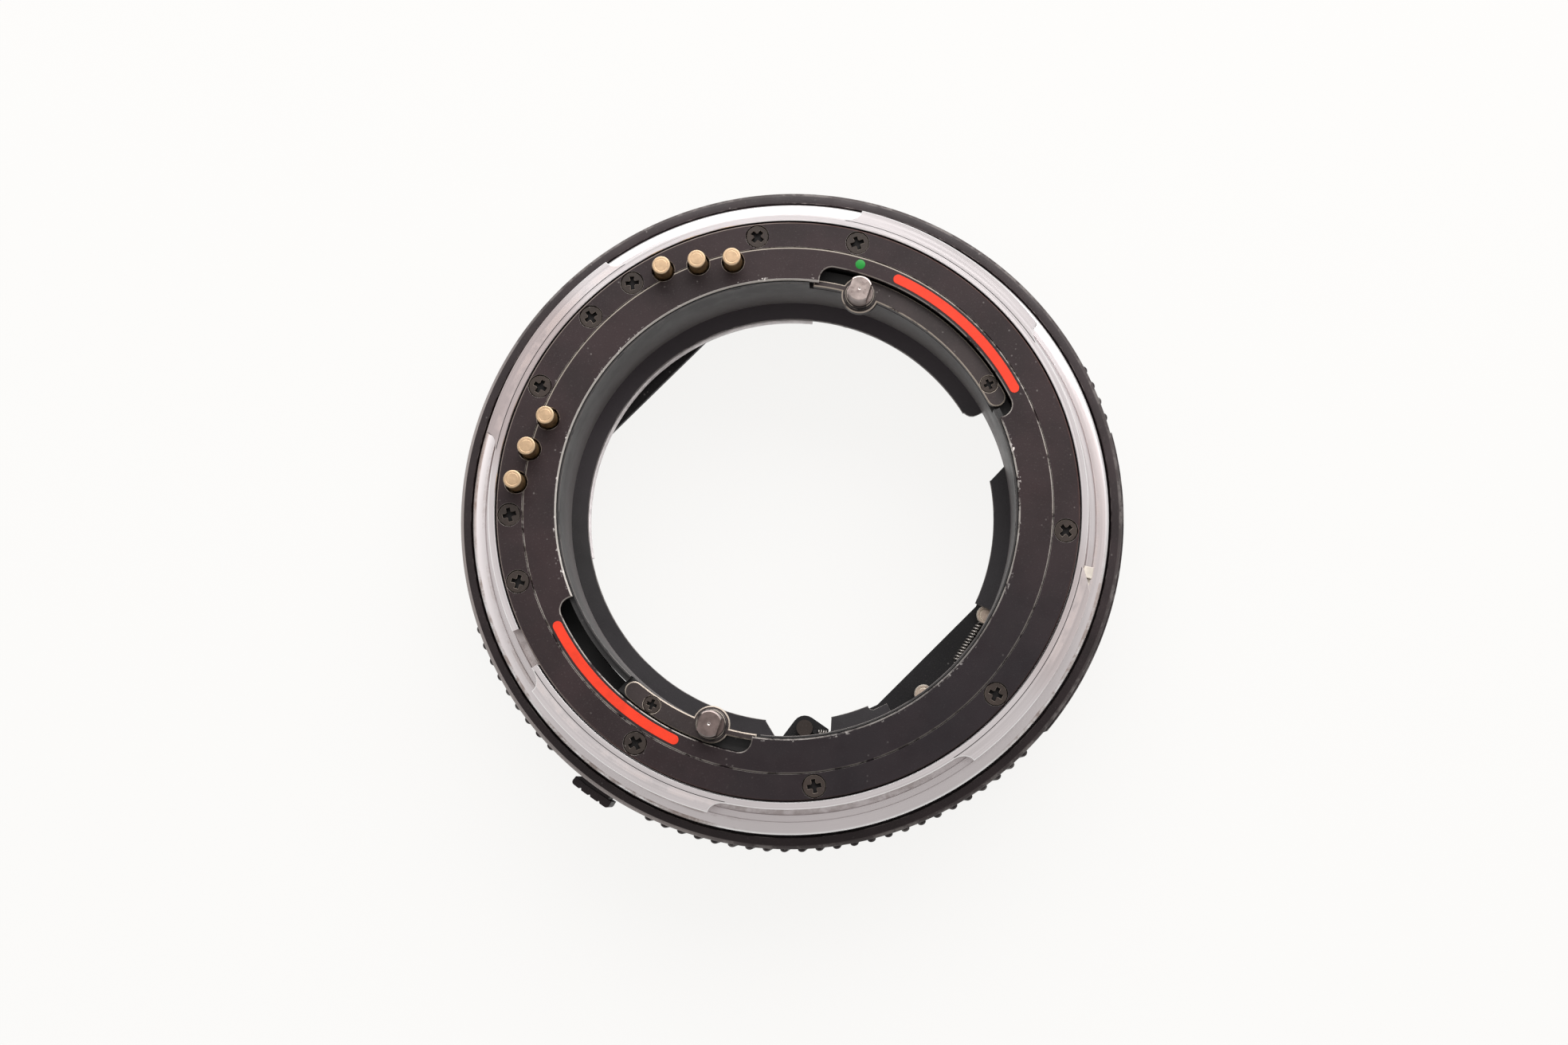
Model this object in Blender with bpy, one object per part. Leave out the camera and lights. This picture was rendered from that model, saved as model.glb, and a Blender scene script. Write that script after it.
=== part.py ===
"""A short automatic extension tube for a medium-format single-lens reflex camera.

The tube stands on its front (lens) seat. Z is the optical axis and points to the camera body,
the front seat is at z = 0 and X points to the right when the tube is seen from the rear.
Lengths are in metres and angles in degrees, counted from +X towards +Y.
"""
import math

import bmesh
import bpy
from mathutils import Matrix, Vector

# Overall sizes
WEB_HEIGHT = 0.0036
LUG_R = 0.0383
SEAT_WIDTH = 0.0017
RIM_WIDTH = 0.0017
RIM_CHAMFER = 0.0004
SEAT_PROUD = 0.0006
GAP = 0.0003
EDGE = 0.0003
BITE = 0.0003
FINE_STEP = 0.0001
SEGMENTS = 44

# Grip on the barrel
GRIP_RISE = 0.0004
GRIP_MARGIN = 0.0010
GRIP_ROOT = 0.0003
RIB_PITCH = 3.0
RIB_WIDTH = 0.0010
RIB_BANDS = ((17.5, 26.5), (200.5, 224.5), (245.5, 314.5))
PAD_SPAN = (-40.0, 14.5)

# Rear bayonet
BAYONET_RISE = 0.0065
LUG_HEIGHT = 0.0015
LUG_DEPTH = 0.0021
LUG_COUNT = 4
LUG_MIDDLE = 56.2
LUG_SPAN = 39.6
LUG_RUN_OUT = 2.9
WALL_THICKNESS = 0.00085
FLANGE_THICKNESS = 0.0021
GROOVE_WIDTH = 0.0007
GROOVE_DEPTH = 0.0007
LEDGE_WIDTH = 0.0017
LIP_WIDTH = 0.0016
LIP_THICKNESS = 0.0016
LOCK_SLOT_SPAN = (204.9, 212.8)
LOCK_SLOT_DEPTH = 0.0019
STOP_KEY_ANGLE = -12.6
STOP_KEY_WIDTH = 0.0014
STOP_KEY_SINK = 0.0004

# Rear plates
PLATE_THICKNESS = 0.0019
PLATE_LIP_THICKNESS = 0.0006
OUTER_PLATE_WIDTH = 0.00345
INNER_PLATE_WIDTH = 0.00415
JOINT_GAP = 0.00025
CLAMP_WIDTH = 0.0005
CLAMP_THICKNESS = 0.0007
NOTCH_DEPTH = 0.00215
NOTCH_SPANS = ((22.7, 82.1), (203.1, 262.0))
NOTCH_CORNER = 0.0015
PLATE_SCREW_OFFSET = 0.00165
PLATE_SCREW_ANGLES = (75.3, 96.4, 124.6, 135.8, 153.9, 181.8, 195.9, 238.0, 276.0, 318.0, 354.9)
SCREW_HEAD_R = 0.00135
SCREW_SHANK_R = 0.0007
SCREW_SINK = 0.0007
SCREW_LENGTH = 0.0038
SCREW_GAP = 0.0001

# Contacts: each pin's angle and its distance outside the joint between the rear plates
CONTACT_PLACES = (
    ((102.5, -0.00104), (110.1, -0.00007), (117.6, 0.00100)),
    ((159.7, -0.00100), (167.4, 0.00005), (174.9, 0.00100)),
)
CONTACT_PIN_R = 0.00112
CONTACT_TIP_R = 0.00095
CONTACT_PROUD = 0.0026
CONTACT_TRAVEL = 0.0020
CONTACT_HOLE_R = 0.00145
CONTACT_COLLAR_R = 0.00140
CONTACT_COLLAR_THICKNESS = 0.0009
CONTACT_STEM_R = 0.00050
CONTACT_STEM_LENGTH = 0.0032
CONTACT_BORE_R = 0.00170
CONTACT_ROOM = 0.0005
CONTACT_TIP_EDGE = 0.0002
CONTACT_COIL_R = 0.0011
CONTACT_WIRE_R = 0.00018
BLOCK_WALL = 0.0004
BLOCK_MARGIN = 3.7
BAY_PLAY = 0.5
PAD_R = 0.0015
PAD_PROUD = 0.0003

# Drive ring
RING_MARGIN = 0.00035
RING_WALL = 0.0009
RING_FLOOR_WIDTH = 0.0020
RING_FLOOR_THICKNESS = 0.0006
RING_LIP_DEPTH = 0.0009
RING_LIP_WIDTH = 0.0006
RING_LIP_SPAN = (84.0, 191.5)
RING_FLANGE_WIDTH = 0.0015
RING_FLANGE_THICKNESS = 0.0013
RING_FLANGE_SPAN = (227.5, 455.0)
RING_CLEARANCE = 0.0017
ARM_THICKNESS = 0.0011
ARM_WIDTH = 0.00213
ARM_TAIL_WIDTH = 0.00083
BOSS_R = 0.0021
DRIVE_ANGLES = (71.4, 251.4)
ARM_ENDS = ((26.2, 83.5), (229.0, 263.0))
ARM_SCREW_ANGLES = (31.6, 236.2)
DRIVE_PIN_R = 0.00155
DRIVE_PIN_FLAT = 0.0012
DRIVE_PIN_PROUD = 0.0024
DRIVE_COLLAR_R = 0.00180
DRIVE_COLLAR_THICKNESS = 0.0003
DRIVE_STEM_R = 0.0009
DRIVE_STEM_DEPTH = 0.0018
ARM_SCREW_HEAD_R = 0.0010
ARM_SCREW_SHANK_R = 0.0005
ARM_SCREW_SINK = 0.0005
ARM_SCREW_LENGTH = 0.0020
CLAW_WIDTH = 0.0066
CLAW_LENGTH = 0.0036

# Front bayonet
BARREL_WALL = 0.0010
CAVITY_WALL = 0.0028
FRONT_FLANGE_THICKNESS = 0.0020
FRONT_LIP_WIDTH = 0.0018
FRONT_STEP = 0.0005
FRONT_GAP_MIDDLE = 11.2
FRONT_GAP_SPAN = 45.0
FRONT_RIM_DEPTH = 0.0006
FRONT_SCREW_HEAD_R = 0.0009
FRONT_SCREW_SHANK_R = 0.00045
FRONT_SCREW_SINK = 0.0005

# Mechanism plate and web
COVER_CLEARANCE = 0.0004
COVER_THICKNESS = 0.0008
COVER_MARGIN = 0.0023
WEB_WIDTH = 0.0045
EAR_WIDTH = 0.0018
EAR_HEIGHT = 0.00155
EAR_SPANS = ((100.0, 170.0), (283.0, 340.0))
EAR_MIDDLES = (135.0, 315.0)
COVER_SCREW_INSET = 0.0015
COVER_SCREW_HEAD_R = 0.0012
COVER_SCREW_SINK = 0.0005
COVER_SCREW_ANGLES = (50.0, 188.0, 315.0)
BASE_SCREW_ANGLES = (15.0, 137.0, 262.0)
BASE_HEAD_R = 0.0013
BASE_HEAD_THICKNESS = 0.0008
BASE_SHANK_R = 0.0007
BASE_TIP_COVER = 0.0006
COVER_TIP_COVER = 0.0009

# Levers on the mechanism plate: each place's angle and its distance outside the ring's bore
STUD_HEAD_R = 0.0012
STUD_HEAD_THICKNESS = 0.0004
STUD_SHANK_R = 0.0005
LEVER_THICKNESS = 0.0004
LEVER_WIDTH = 0.0016
LEVER_HEAD_R = 0.0013
SPRING_STUD_PLACE = (-26.4, -0.00025)
LEVER_STUD_PLACE = (-52.8, 0.00005)
LEVER_POST_PLACE = (-42.4, -0.00011)
POST_R = 0.0003
PAWL_PIVOT_PLACE = (-85.8, -0.00126)
PAWL_POST_PLACE = (-83.1, -0.00070)
PLATE_POST_PLACE = (-76.6, 0.00038)
PAWL_HEAD_R = 0.0016
PAWL_PIVOT_HEAD_R = 0.00105
PAWL_TAB_R = 0.0022
PAWL_CORNERS = ((0.00302, -0.00013), (0.00302, -0.00273), (-0.00428, -0.00303))
SPRING_HOOK = 0.0009
RETURN_COIL_R = 0.0004
RETURN_WIRE_R = 0.00011
PAWL_COIL_R = 0.0003
PAWL_WIRE_R = 0.00009

# Lens release
LOCK_ANGLE = 208.9
LOCK_INSET = 0.0021
LOCK_PIN_R = 0.00075
LOCK_ENGAGE = 0.0012
LOCK_LIFT = 0.0014
LOCK_COLLAR_R = 0.00145
LOCK_COLLAR_THICKNESS = 0.0004
LOCK_COIL_R = 0.0010
LOCK_WIRE_R = 0.00016
SLIDER_INNER = 0.0015
SLIDER_OUTER = 0.0019
SLIDER_SPAN = (205.5, 240.0)
SLIDER_THICKNESS = 0.0008
SLIDER_TRAVEL = 6.0
RAMP_LAND = 1.2
SLIDER_ARM_SPAN = (232.0, 237.0)
TAB_SPAN = (231.0, 238.5)
TAB_THICKNESS = 0.0009
TAB_HEIGHT = 0.0046
TAB_GROOVE = 0.0003

# Index bead
BEAD_ANGLE = 101.1
BEAD_R = 0.0009
BEAD_RISE = 0.00045
BEAD_HEIGHT = 0.0095


def polar(radius, angle):
    """The point at a radius and an angle in degrees."""
    return (radius * math.cos(math.radians(angle)), radius * math.sin(math.radians(angle)))


def along(length, radius):
    """The angle in degrees that a length spans along an arc."""
    return math.degrees(length / radius)


# Radii that follow, outwards from the bayonet's lugs
SEAT_R = LUG_R + SEAT_WIDTH
BARREL_R = SEAT_R + RIM_WIDTH
RIM_FLAT_R = BARREL_R - RIM_CHAMFER
TAB_INNER_R = BARREL_R + GRIP_RISE + GAP
TAB_R = TAB_INNER_R + TAB_THICKNESS
FRONT_RING_R = BARREL_R - BARREL_WALL
CAVITY_R = BARREL_R - CAVITY_WALL
FRONT_BORE_R = CAVITY_R - FRONT_LIP_WIDTH
FRONT_GAP_R = CAVITY_R - FRONT_STEP
FRONT_SCREW_R = CAVITY_R + 0.4 * (CAVITY_WALL - BARREL_WALL)
COVER_R = CAVITY_R - GAP
WEB_R = CAVITY_R - WEB_WIDTH
COVER_SCREW_R = COVER_R - COVER_SCREW_INSET
BASE_SCREW_R = COVER_SCREW_R
LOCK_R = COVER_R - LOCK_INSET
SLIDER_R = (LOCK_R - SLIDER_INNER, LOCK_R + SLIDER_OUTER)

# Radii that follow, inwards from the bayonet's lugs
WALL_R = LUG_R - LUG_HEIGHT
GROOVE_R = WALL_R + GROOVE_WIDTH
WALL_INNER_R = WALL_R - WALL_THICKNESS
JOINT_R = WALL_INNER_R - OUTER_PLATE_WIDTH
PLATE_SCREW_R = JOINT_R + PLATE_SCREW_OFFSET
LEDGE_R = JOINT_R - LEDGE_WIDTH
LIP_R = LEDGE_R - LIP_WIDTH
CONTACT_GROUPS = [[(angle, JOINT_R + offset) for angle, offset in group] for group in CONTACT_PLACES]
CONTACT_REACH = [offset for group in CONTACT_PLACES for angle, offset in group]
BLOCK_R = (JOINT_R + min(CONTACT_REACH) - CONTACT_BORE_R - BLOCK_WALL,
           JOINT_R + max(CONTACT_REACH) + CONTACT_BORE_R + BLOCK_WALL)
INNER_PLATE_R = JOINT_R - INNER_PLATE_WIDTH
NOTCH_R = INNER_PLATE_R + NOTCH_DEPTH
RING_R = INNER_PLATE_R - RING_MARGIN
RING_FLOOR_R = RING_R - RING_FLOOR_WIDTH
RING_FLANGE_R = RING_R + RING_WALL + RING_FLANGE_WIDTH
ARM_R = (RING_R - 0.1 * GAP, RING_R - 0.1 * GAP + ARM_WIDTH)
ARM_TAIL_R = ARM_R[0] + ARM_TAIL_WIDTH
ARM_SCREW_R = (RING_FLANGE_R + RING_R) / 2
DRIVE_R = ARM_R[0] + 0.43 * GAP
CLAW_R = (RING_FLOOR_R + GAP, RING_FLOOR_R + GAP + CLAW_LENGTH)
COVER_BORE_R = RING_R + COVER_MARGIN
EAR_R = RING_R - EAR_WIDTH
EAR_CHORD = EAR_R - EAR_HEIGHT


def beside_ring(place):
    """The point at a place's angle and at its distance outside the ring's bore."""
    return polar(RING_R + place[1], place[0])


SPRING_STUD = beside_ring(SPRING_STUD_PLACE)
LEVER_STUD = beside_ring(LEVER_STUD_PLACE)
LEVER_POST = beside_ring(LEVER_POST_PLACE)
PAWL_PIVOT = beside_ring(PAWL_PIVOT_PLACE)
PAWL_POST = beside_ring(PAWL_POST_PLACE)
PLATE_POST = beside_ring(PLATE_POST_PLACE)

# Heights that follow from the sizes above
COVER_BOTTOM = BAYONET_RISE + COVER_CLEARANCE
COVER_TOP = COVER_BOTTOM + COVER_THICKNESS
WEB_BOTTOM = COVER_TOP + GAP
WEB_TOP = WEB_BOTTOM + WEB_HEIGHT
FLANGE_BOTTOM = WEB_TOP + GAP
REAR_SEAT = FLANGE_BOTTOM + FLANGE_THICKNESS
TUBE_LENGTH = REAR_SEAT
REAR_FACE = REAR_SEAT + BAYONET_RISE
PLATE_BOTTOM = REAR_FACE - PLATE_THICKNESS
COVER_SCREW_LENGTH = WEB_TOP - COVER_TIP_COVER - COVER_BOTTOM
LEDGE_TOP = PLATE_BOTTOM - GAP
RING_BOTTOM = COVER_TOP + RING_CLEARANCE
RING_FLOOR_TOP = RING_BOTTOM + RING_FLOOR_THICKNESS
ARM_TOP = REAR_FACE - PLATE_LIP_THICKNESS - 1.3 * GAP
ARM_BOTTOM = ARM_TOP - ARM_THICKNESS
RING_FLANGE_TOP = ARM_BOTTOM - GAP
RING_FLANGE_BOTTOM = RING_FLANGE_TOP - RING_FLANGE_THICKNESS
LIP_TOP = RING_FLANGE_BOTTOM - GAP
LEVER_BOTTOM = COVER_TOP + GAP
LEVER_TOP = LEVER_BOTTOM + LEVER_THICKNESS
STUD_HEAD_BOTTOM = LEVER_TOP + GAP
STUD_TOP = STUD_HEAD_BOTTOM + STUD_HEAD_THICKNESS
SLIDER_BOTTOM = WEB_BOTTOM + GAP
SLIDER_TOP = SLIDER_BOTTOM + SLIDER_THICKNESS
RAMP_TOP = SLIDER_TOP + LOCK_LIFT
OVERRUN = 0.0005


def material(name, colour, roughness, metallic):
    """One Principled BSDF with the piece's own colour."""
    mat = bpy.data.materials.new(name)
    mat.use_nodes = True
    shader = mat.node_tree.nodes["Principled BSDF"]
    shader.inputs["Base Color"].default_value = (*colour, 1.0)
    shader.inputs["Roughness"].default_value = roughness
    shader.inputs["Metallic"].default_value = metallic
    return mat


def arc(radius, start, end):
    """Points along a circle about Z, both ends included, with corners between a turned ring's."""
    pitch = 360.0 / SEGMENTS
    low, high = sorted((start, end))
    first, last = math.floor(low / pitch - 0.5) + 1, math.ceil(high / pitch - 0.5)
    corners = [(i + 0.5) * pitch for i in range(first, last)]
    angles = [low] + [a for a in corners if low + 0.02 < a < high - 0.02] + [high]
    points = []
    for angle in angles:
        from_middle = math.radians((angle + pitch / 2) % pitch - pitch / 2)
        points.append(polar(radius * math.cos(math.radians(pitch / 2)) / math.cos(from_middle), angle))
    return points if start <= end else points[::-1]


def bend(radius, start, end, centre, step=30.0):
    """Points along a small arc about any centre, both ends included."""
    count = max(1, math.ceil(abs(end - start) / step - 1e-6))
    points = []
    for i in range(count + 1):
        x, y = polar(radius, start + (end - start) * i / count)
        points.append((x + centre[0], y + centre[1]))
    return points


def new_object(name, mesh, mat, location=(0.0, 0.0, 0.0)):
    """Links a mesh as an object, shaded smooth with sharp edges kept."""
    obj = bpy.data.objects.new(name, mesh)
    bpy.context.scene.collection.objects.link(obj)
    obj.location = location
    if mat:
        mesh.materials.append(mat)
    mesh.shade_smooth()
    mesh.set_sharp_from_angle(angle=math.radians(30.0))
    return obj


def closed_mesh(name, rings, caps, loops=True):
    """A mesh from rings of points: neighbouring rings are bridged, and caps close the ends."""
    bm = bmesh.new()
    made = [[bm.verts.new(p) for p in ring] for ring in rings]
    pairs = list(zip(made, made[1:]))
    if not caps:
        pairs.append((made[-1], made[0]))
    for low, high in pairs:
        count = len(low)
        for i in range(count if loops else count - 1):
            j = (i + 1) % count
            bm.faces.new((low[i], low[j], high[j], high[i]))
    if caps:
        bm.faces.new(list(reversed(made[0])))
        bm.faces.new(made[-1])
    bmesh.ops.recalc_face_normals(bm, faces=bm.faces)
    mesh = bpy.data.meshes.new(name)
    bm.to_mesh(mesh)
    bm.free()
    return mesh


def ring_mesh(name, profile, segments=SEGMENTS):
    """A ring turned about Z from a closed profile of (radius, height) points."""
    rings = []
    for radius, height in profile:
        rings.append([(*polar(radius, 360.0 * i / segments), height) for i in range(segments)])
    return closed_mesh(name, rings, caps=False)


def turned_mesh(name, profile, segments=12, centre=(0.0, 0.0)):
    """A solid turned about a vertical axis, from its lowest (radius, height) to its highest."""
    rings = []
    for radius, height in profile:
        ring = []
        for i in range(segments):
            x, y = polar(radius, 360.0 * (i + 0.5) / segments)
            ring.append((x + centre[0], y + centre[1], height))
        rings.append(ring)
    return closed_mesh(name, rings, caps=True)


def prism_mesh(name, outline, bottom, top):
    """A plate of one outline between two heights."""
    return closed_mesh(name, [[(x, y, z) for x, y in outline] for z in (bottom, top)], caps=True)


def sector(inner, outer, start, end):
    """The outline of a piece of a ring."""
    return arc(outer, start, end) + arc(inner, end, start)


def rounded_sector(inner, outer, start, end, corner):
    """A piece of a ring whose two outer corners are rounded."""
    turn = math.degrees(corner / outer)
    points = []
    for i in range(5):
        a = math.radians(90.0 * i / 4)
        points.append(polar(outer - corner * (1 - math.sin(a)), start + turn * (1 - math.cos(a))))
    points += arc(outer, start + turn, end - turn)[1:-1]
    for i in range(4, -1, -1):
        a = math.radians(90.0 * i / 4)
        points.append(polar(outer - corner * (1 - math.sin(a)), end - turn * (1 - math.cos(a))))
    return points + arc(inner, end, start)


def capsule(start, end, radius, start_radius=None, segments=6):
    """The outline of a bar with round ends."""
    along = Vector(end) - Vector(start)
    heading = math.degrees(math.atan2(along.y, along.x))
    first = start_radius or radius
    step = 180.0 / segments
    return (bend(first, heading + 90.0, heading + 270.0, start, step)
            + bend(radius, heading - 90.0, heading + 90.0, end, step))


def joined_mesh(name, meshes):
    """Several closed shapes in one mesh, each a body of its own."""
    bm = bmesh.new()
    for mesh in meshes:
        bm.from_mesh(mesh)
        bpy.data.meshes.remove(mesh)
    joined = bpy.data.meshes.new(name)
    bm.to_mesh(joined)
    bm.free()
    return joined


def guide(name, mesh, location=(0.0, 0.0, 0.0)):
    """A shape that only cuts or joins: it isn't part of the model itself."""
    obj = new_object(name, mesh, None, location)
    obj.hide_render = True
    obj.display_type = "WIRE"
    return obj


def boolean(obj, operation, tool):
    """Adds an exact Boolean with another object."""
    modifier = obj.modifiers.new(tool.name, "BOOLEAN")
    modifier.operation = operation
    modifier.solver = "EXACT"
    modifier.object = tool
    return obj


def cut(obj, mesh):
    """Takes a shape away from an object."""
    return boolean(obj, "DIFFERENCE", guide("cut_" + mesh.name, mesh, obj.location))


def add(obj, mesh):
    """Joins a shape to an object."""
    return boolean(obj, "UNION", guide("add_" + mesh.name, mesh, obj.location))


def screw_profile(top, head_r, shank_r, sink, length, grow=0.0):
    """A countersunk screw that points down from its flat head, grown for its hole."""
    return [
        (shank_r + grow, top - length - grow),
        (shank_r + grow, top - sink - grow),
        (head_r + grow, top),
        (head_r + grow, top + (OVERRUN if grow else FINE_STEP)),
    ]


def flipped(profile, height):
    """A profile mirrored in a horizontal plane, for screws that point up."""
    return [(r, 2 * height - z) for r, z in reversed(profile)]


def hole_set(name, places, profile, segments=10):
    """The same turned shape at each place, in one mesh."""
    shapes = []
    for i, place in enumerate(places):
        shapes.append(turned_mesh(f"{name}_{i}", profile, segments, place))
    return joined_mesh(name, shapes)


def place_copies(name, places, profile, mat, segments=10):
    """One object at each place, all sharing the mesh of the same turned piece."""
    mesh = turned_mesh(name, profile, segments)
    mesh.materials.append(mat)
    for i, (x, y) in enumerate(places):
        new_object(f"{name}_{i + 1}", mesh, None, (x, y, 0.0))


def coil_mesh(name, start, end, radius, wire, turns, per_turn=6, sides=3):
    """A helical spring between two points, closed at its ends."""
    start, end = Vector(start), Vector(end)
    axis = (end - start).normalized()
    side = axis.orthogonal().normalized()
    other = axis.cross(side)
    length = (end - start).length
    rings = []
    steps = int(turns * per_turn)
    for i in range(steps + 1):
        a = 2 * math.pi * i / per_turn
        out = side * math.cos(a) + other * math.sin(a)
        centre = start + axis * (length * i / steps) + out * radius
        ring = []
        for k in range(sides):
            b = 2 * math.pi * k / sides
            ring.append(centre + out * (wire * math.cos(b)) + axis * (wire * math.sin(b)))
        rings.append(ring)
    return closed_mesh(name, rings, caps=True)


def circle_crossing(radius, centre_radius, circle_radius):
    """The angle between a circle's centre and the point where an arc about Z meets the circle."""
    top = centre_radius ** 2 + radius ** 2 - circle_radius ** 2
    return math.degrees(math.acos(top / (2 * centre_radius * radius)))


def lug_angles():
    """The middle of each bayonet lug."""
    return [LUG_MIDDLE + 360.0 * i / LUG_COUNT for i in range(LUG_COUNT)]


def build_barrel(mat):
    """The black outer shell, with the web that carries everything inside."""
    chamfer = RIM_CHAMFER
    front, rear = FRONT_RIM_DEPTH, TUBE_LENGTH - SEAT_PROUD
    shoulder = FRONT_FLANGE_THICKNESS + GAP
    profile = [
        (FRONT_RING_R + GAP, front), (RIM_FLAT_R, front), (BARREL_R, front + chamfer),
        (BARREL_R, rear - chamfer), (RIM_FLAT_R, rear), (SEAT_R + GAP, rear),
        (SEAT_R + GAP, WEB_TOP), (WEB_R, WEB_TOP), (WEB_R, WEB_BOTTOM), (CAVITY_R, WEB_BOTTOM),
        (CAVITY_R, shoulder), (FRONT_RING_R + GAP, shoulder),
    ]
    barrel = new_object("barrel", ring_mesh("barrel", profile), mat)
    add(barrel, grip_mesh(front + GRIP_MARGIN, rear - GRIP_MARGIN))
    for i, (start, end) in enumerate(block_spans()):
        outline = sector(WEB_R - OVERRUN, BLOCK_R[1] + GAP, start - BAY_PLAY, end + BAY_PLAY)
        cut(barrel, prism_mesh(f"web_bay_{i}", outline, WEB_BOTTOM - OVERRUN, WEB_TOP + OVERRUN))
    cut(barrel, base_screw_holes("base_holes"))
    holes = hole_set("cover_holes", cover_screw_places(), [
        (SCREW_SHANK_R + SCREW_GAP, WEB_BOTTOM - OVERRUN),
        (SCREW_SHANK_R + SCREW_GAP, COVER_BOTTOM + COVER_SCREW_LENGTH + GAP)], 8)
    cut(barrel, holes)
    cut_release_pocket(barrel)
    bead = turned_mesh("bead_hole", [(BEAD_R + GAP, -BEAD_R - GAP), (BEAD_R + GAP, OVERRUN)])
    bead.transform(bead_matrix())
    cut(barrel, bead)
    return barrel


def grip_mesh(bottom, top):
    """The raised ribs and the smooth raised pad."""
    root = BARREL_R - GRIP_ROOT
    crest = BARREL_R + GRIP_RISE
    shapes = []
    for start, end in RIB_BANDS:
        for i in range(round((end - start) / RIB_PITCH) + 1):
            angle = start + RIB_PITCH * i
            base = math.degrees(0.6 * RIB_WIDTH / root)
            tip = math.degrees(0.3 * RIB_WIDTH / crest)
            outline = [polar(root, angle - base), polar(crest, angle - tip),
                       polar(crest, angle + tip), polar(root, angle + base)]
            shapes.append(prism_mesh(f"rib_{angle}", outline, bottom, top))
    shapes.append(prism_mesh("pad", sector(root, crest, *PAD_SPAN), bottom, top))
    return joined_mesh("grip", shapes)


def block_spans():
    """The start and end angle of each contact block."""
    return [(group[0][0] - BLOCK_MARGIN, group[-1][0] + BLOCK_MARGIN) for group in CONTACT_GROUPS]


def build_rear_bayonet(mat):
    """The chromed male bayonet, its lugs and the ledge that carries the rear plates."""
    profile = [
        (LIP_R, LIP_TOP), (LEDGE_R, LIP_TOP), (LEDGE_R, LEDGE_TOP), (WALL_INNER_R, LEDGE_TOP),
        (WALL_INNER_R, REAR_FACE), (WALL_R, REAR_FACE), (WALL_R, REAR_SEAT - GROOVE_DEPTH),
        (GROOVE_R, REAR_SEAT - GROOVE_DEPTH), (GROOVE_R, REAR_SEAT), (SEAT_R - EDGE, REAR_SEAT),
        (SEAT_R, REAR_SEAT - EDGE), (SEAT_R, FLANGE_BOTTOM), (LEDGE_R + GAP, FLANGE_BOTTOM),
        (LEDGE_R + GAP, LIP_TOP - LIP_THICKNESS), (LIP_R, LIP_TOP - LIP_THICKNESS),
    ]
    bayonet = new_object("rear_bayonet", ring_mesh("rear_bayonet", profile), mat)
    lugs = [lug_mesh(i, middle) for i, middle in enumerate(lug_angles())]
    add(bayonet, joined_mesh("lugs", lugs))
    for i, (start, end) in enumerate(block_spans()):
        outline = sector(LIP_R - OVERRUN, BLOCK_R[1] + GAP, start - BAY_PLAY, end + BAY_PLAY)
        low, high = FLANGE_BOTTOM - OVERRUN, LEDGE_TOP + 0.5 * GAP
        cut(bayonet, prism_mesh(f"block_bay_{i}", outline, low, high))
    add_stop_key(bayonet)
    slot = sector(WALL_INNER_R - OVERRUN, WALL_R + OVERRUN, *LOCK_SLOT_SPAN)
    cut(bayonet, prism_mesh("lock_slot", slot, REAR_FACE - LOCK_SLOT_DEPTH, REAR_FACE + OVERRUN))
    cut(bayonet, base_screw_holes("base_tappings"))
    cut(bayonet, hole_set("plate_tappings", plate_screw_places(), [
        (SCREW_SHANK_R + SCREW_GAP, REAR_FACE - SCREW_LENGTH - GAP),
        (SCREW_SHANK_R + SCREW_GAP, LEDGE_TOP + 0.5 * GAP)], 8))
    return bayonet


def lug_mesh(index, middle):
    """One bayonet lug, whose ends run out along the wall in a curve."""
    half = LUG_SPAN / 2
    root = WALL_R - BITE
    outline = arc(LUG_R, middle - half, middle + half)
    steps = 3
    for i in range(1, steps + 1):
        t = i / steps
        radius = LUG_R + (WALL_R - LUG_R) * math.sin(0.5 * math.pi * t)
        outline.append(polar(radius, middle + half + LUG_RUN_OUT * (1 - math.cos(0.5 * math.pi * t))))
    outline += arc(root, middle + half + LUG_RUN_OUT, middle - half - LUG_RUN_OUT)
    for i in range(steps, 0, -1):
        t = i / steps
        radius = LUG_R + (WALL_R - LUG_R) * math.sin(0.5 * math.pi * t)
        outline.append(polar(radius, middle - half - LUG_RUN_OUT * (1 - math.cos(0.5 * math.pi * t))))
    return prism_mesh(f"lug_{index}", outline, REAR_FACE - LUG_DEPTH, REAR_FACE)


def plate_screw_places():
    """Where the rear plate screws stand."""
    return [polar(PLATE_SCREW_R, angle) for angle in PLATE_SCREW_ANGLES]


def contact_places():
    """Where the contact pins stand."""
    return [polar(radius, angle) for group in CONTACT_GROUPS for angle, radius in group]


def contact_holes(name):
    """The clearance holes for the contact pins."""
    return hole_set(name, contact_places(), [
        (CONTACT_HOLE_R, PLATE_BOTTOM - OVERRUN), (CONTACT_HOLE_R, REAR_FACE + OVERRUN)], 10)


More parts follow.
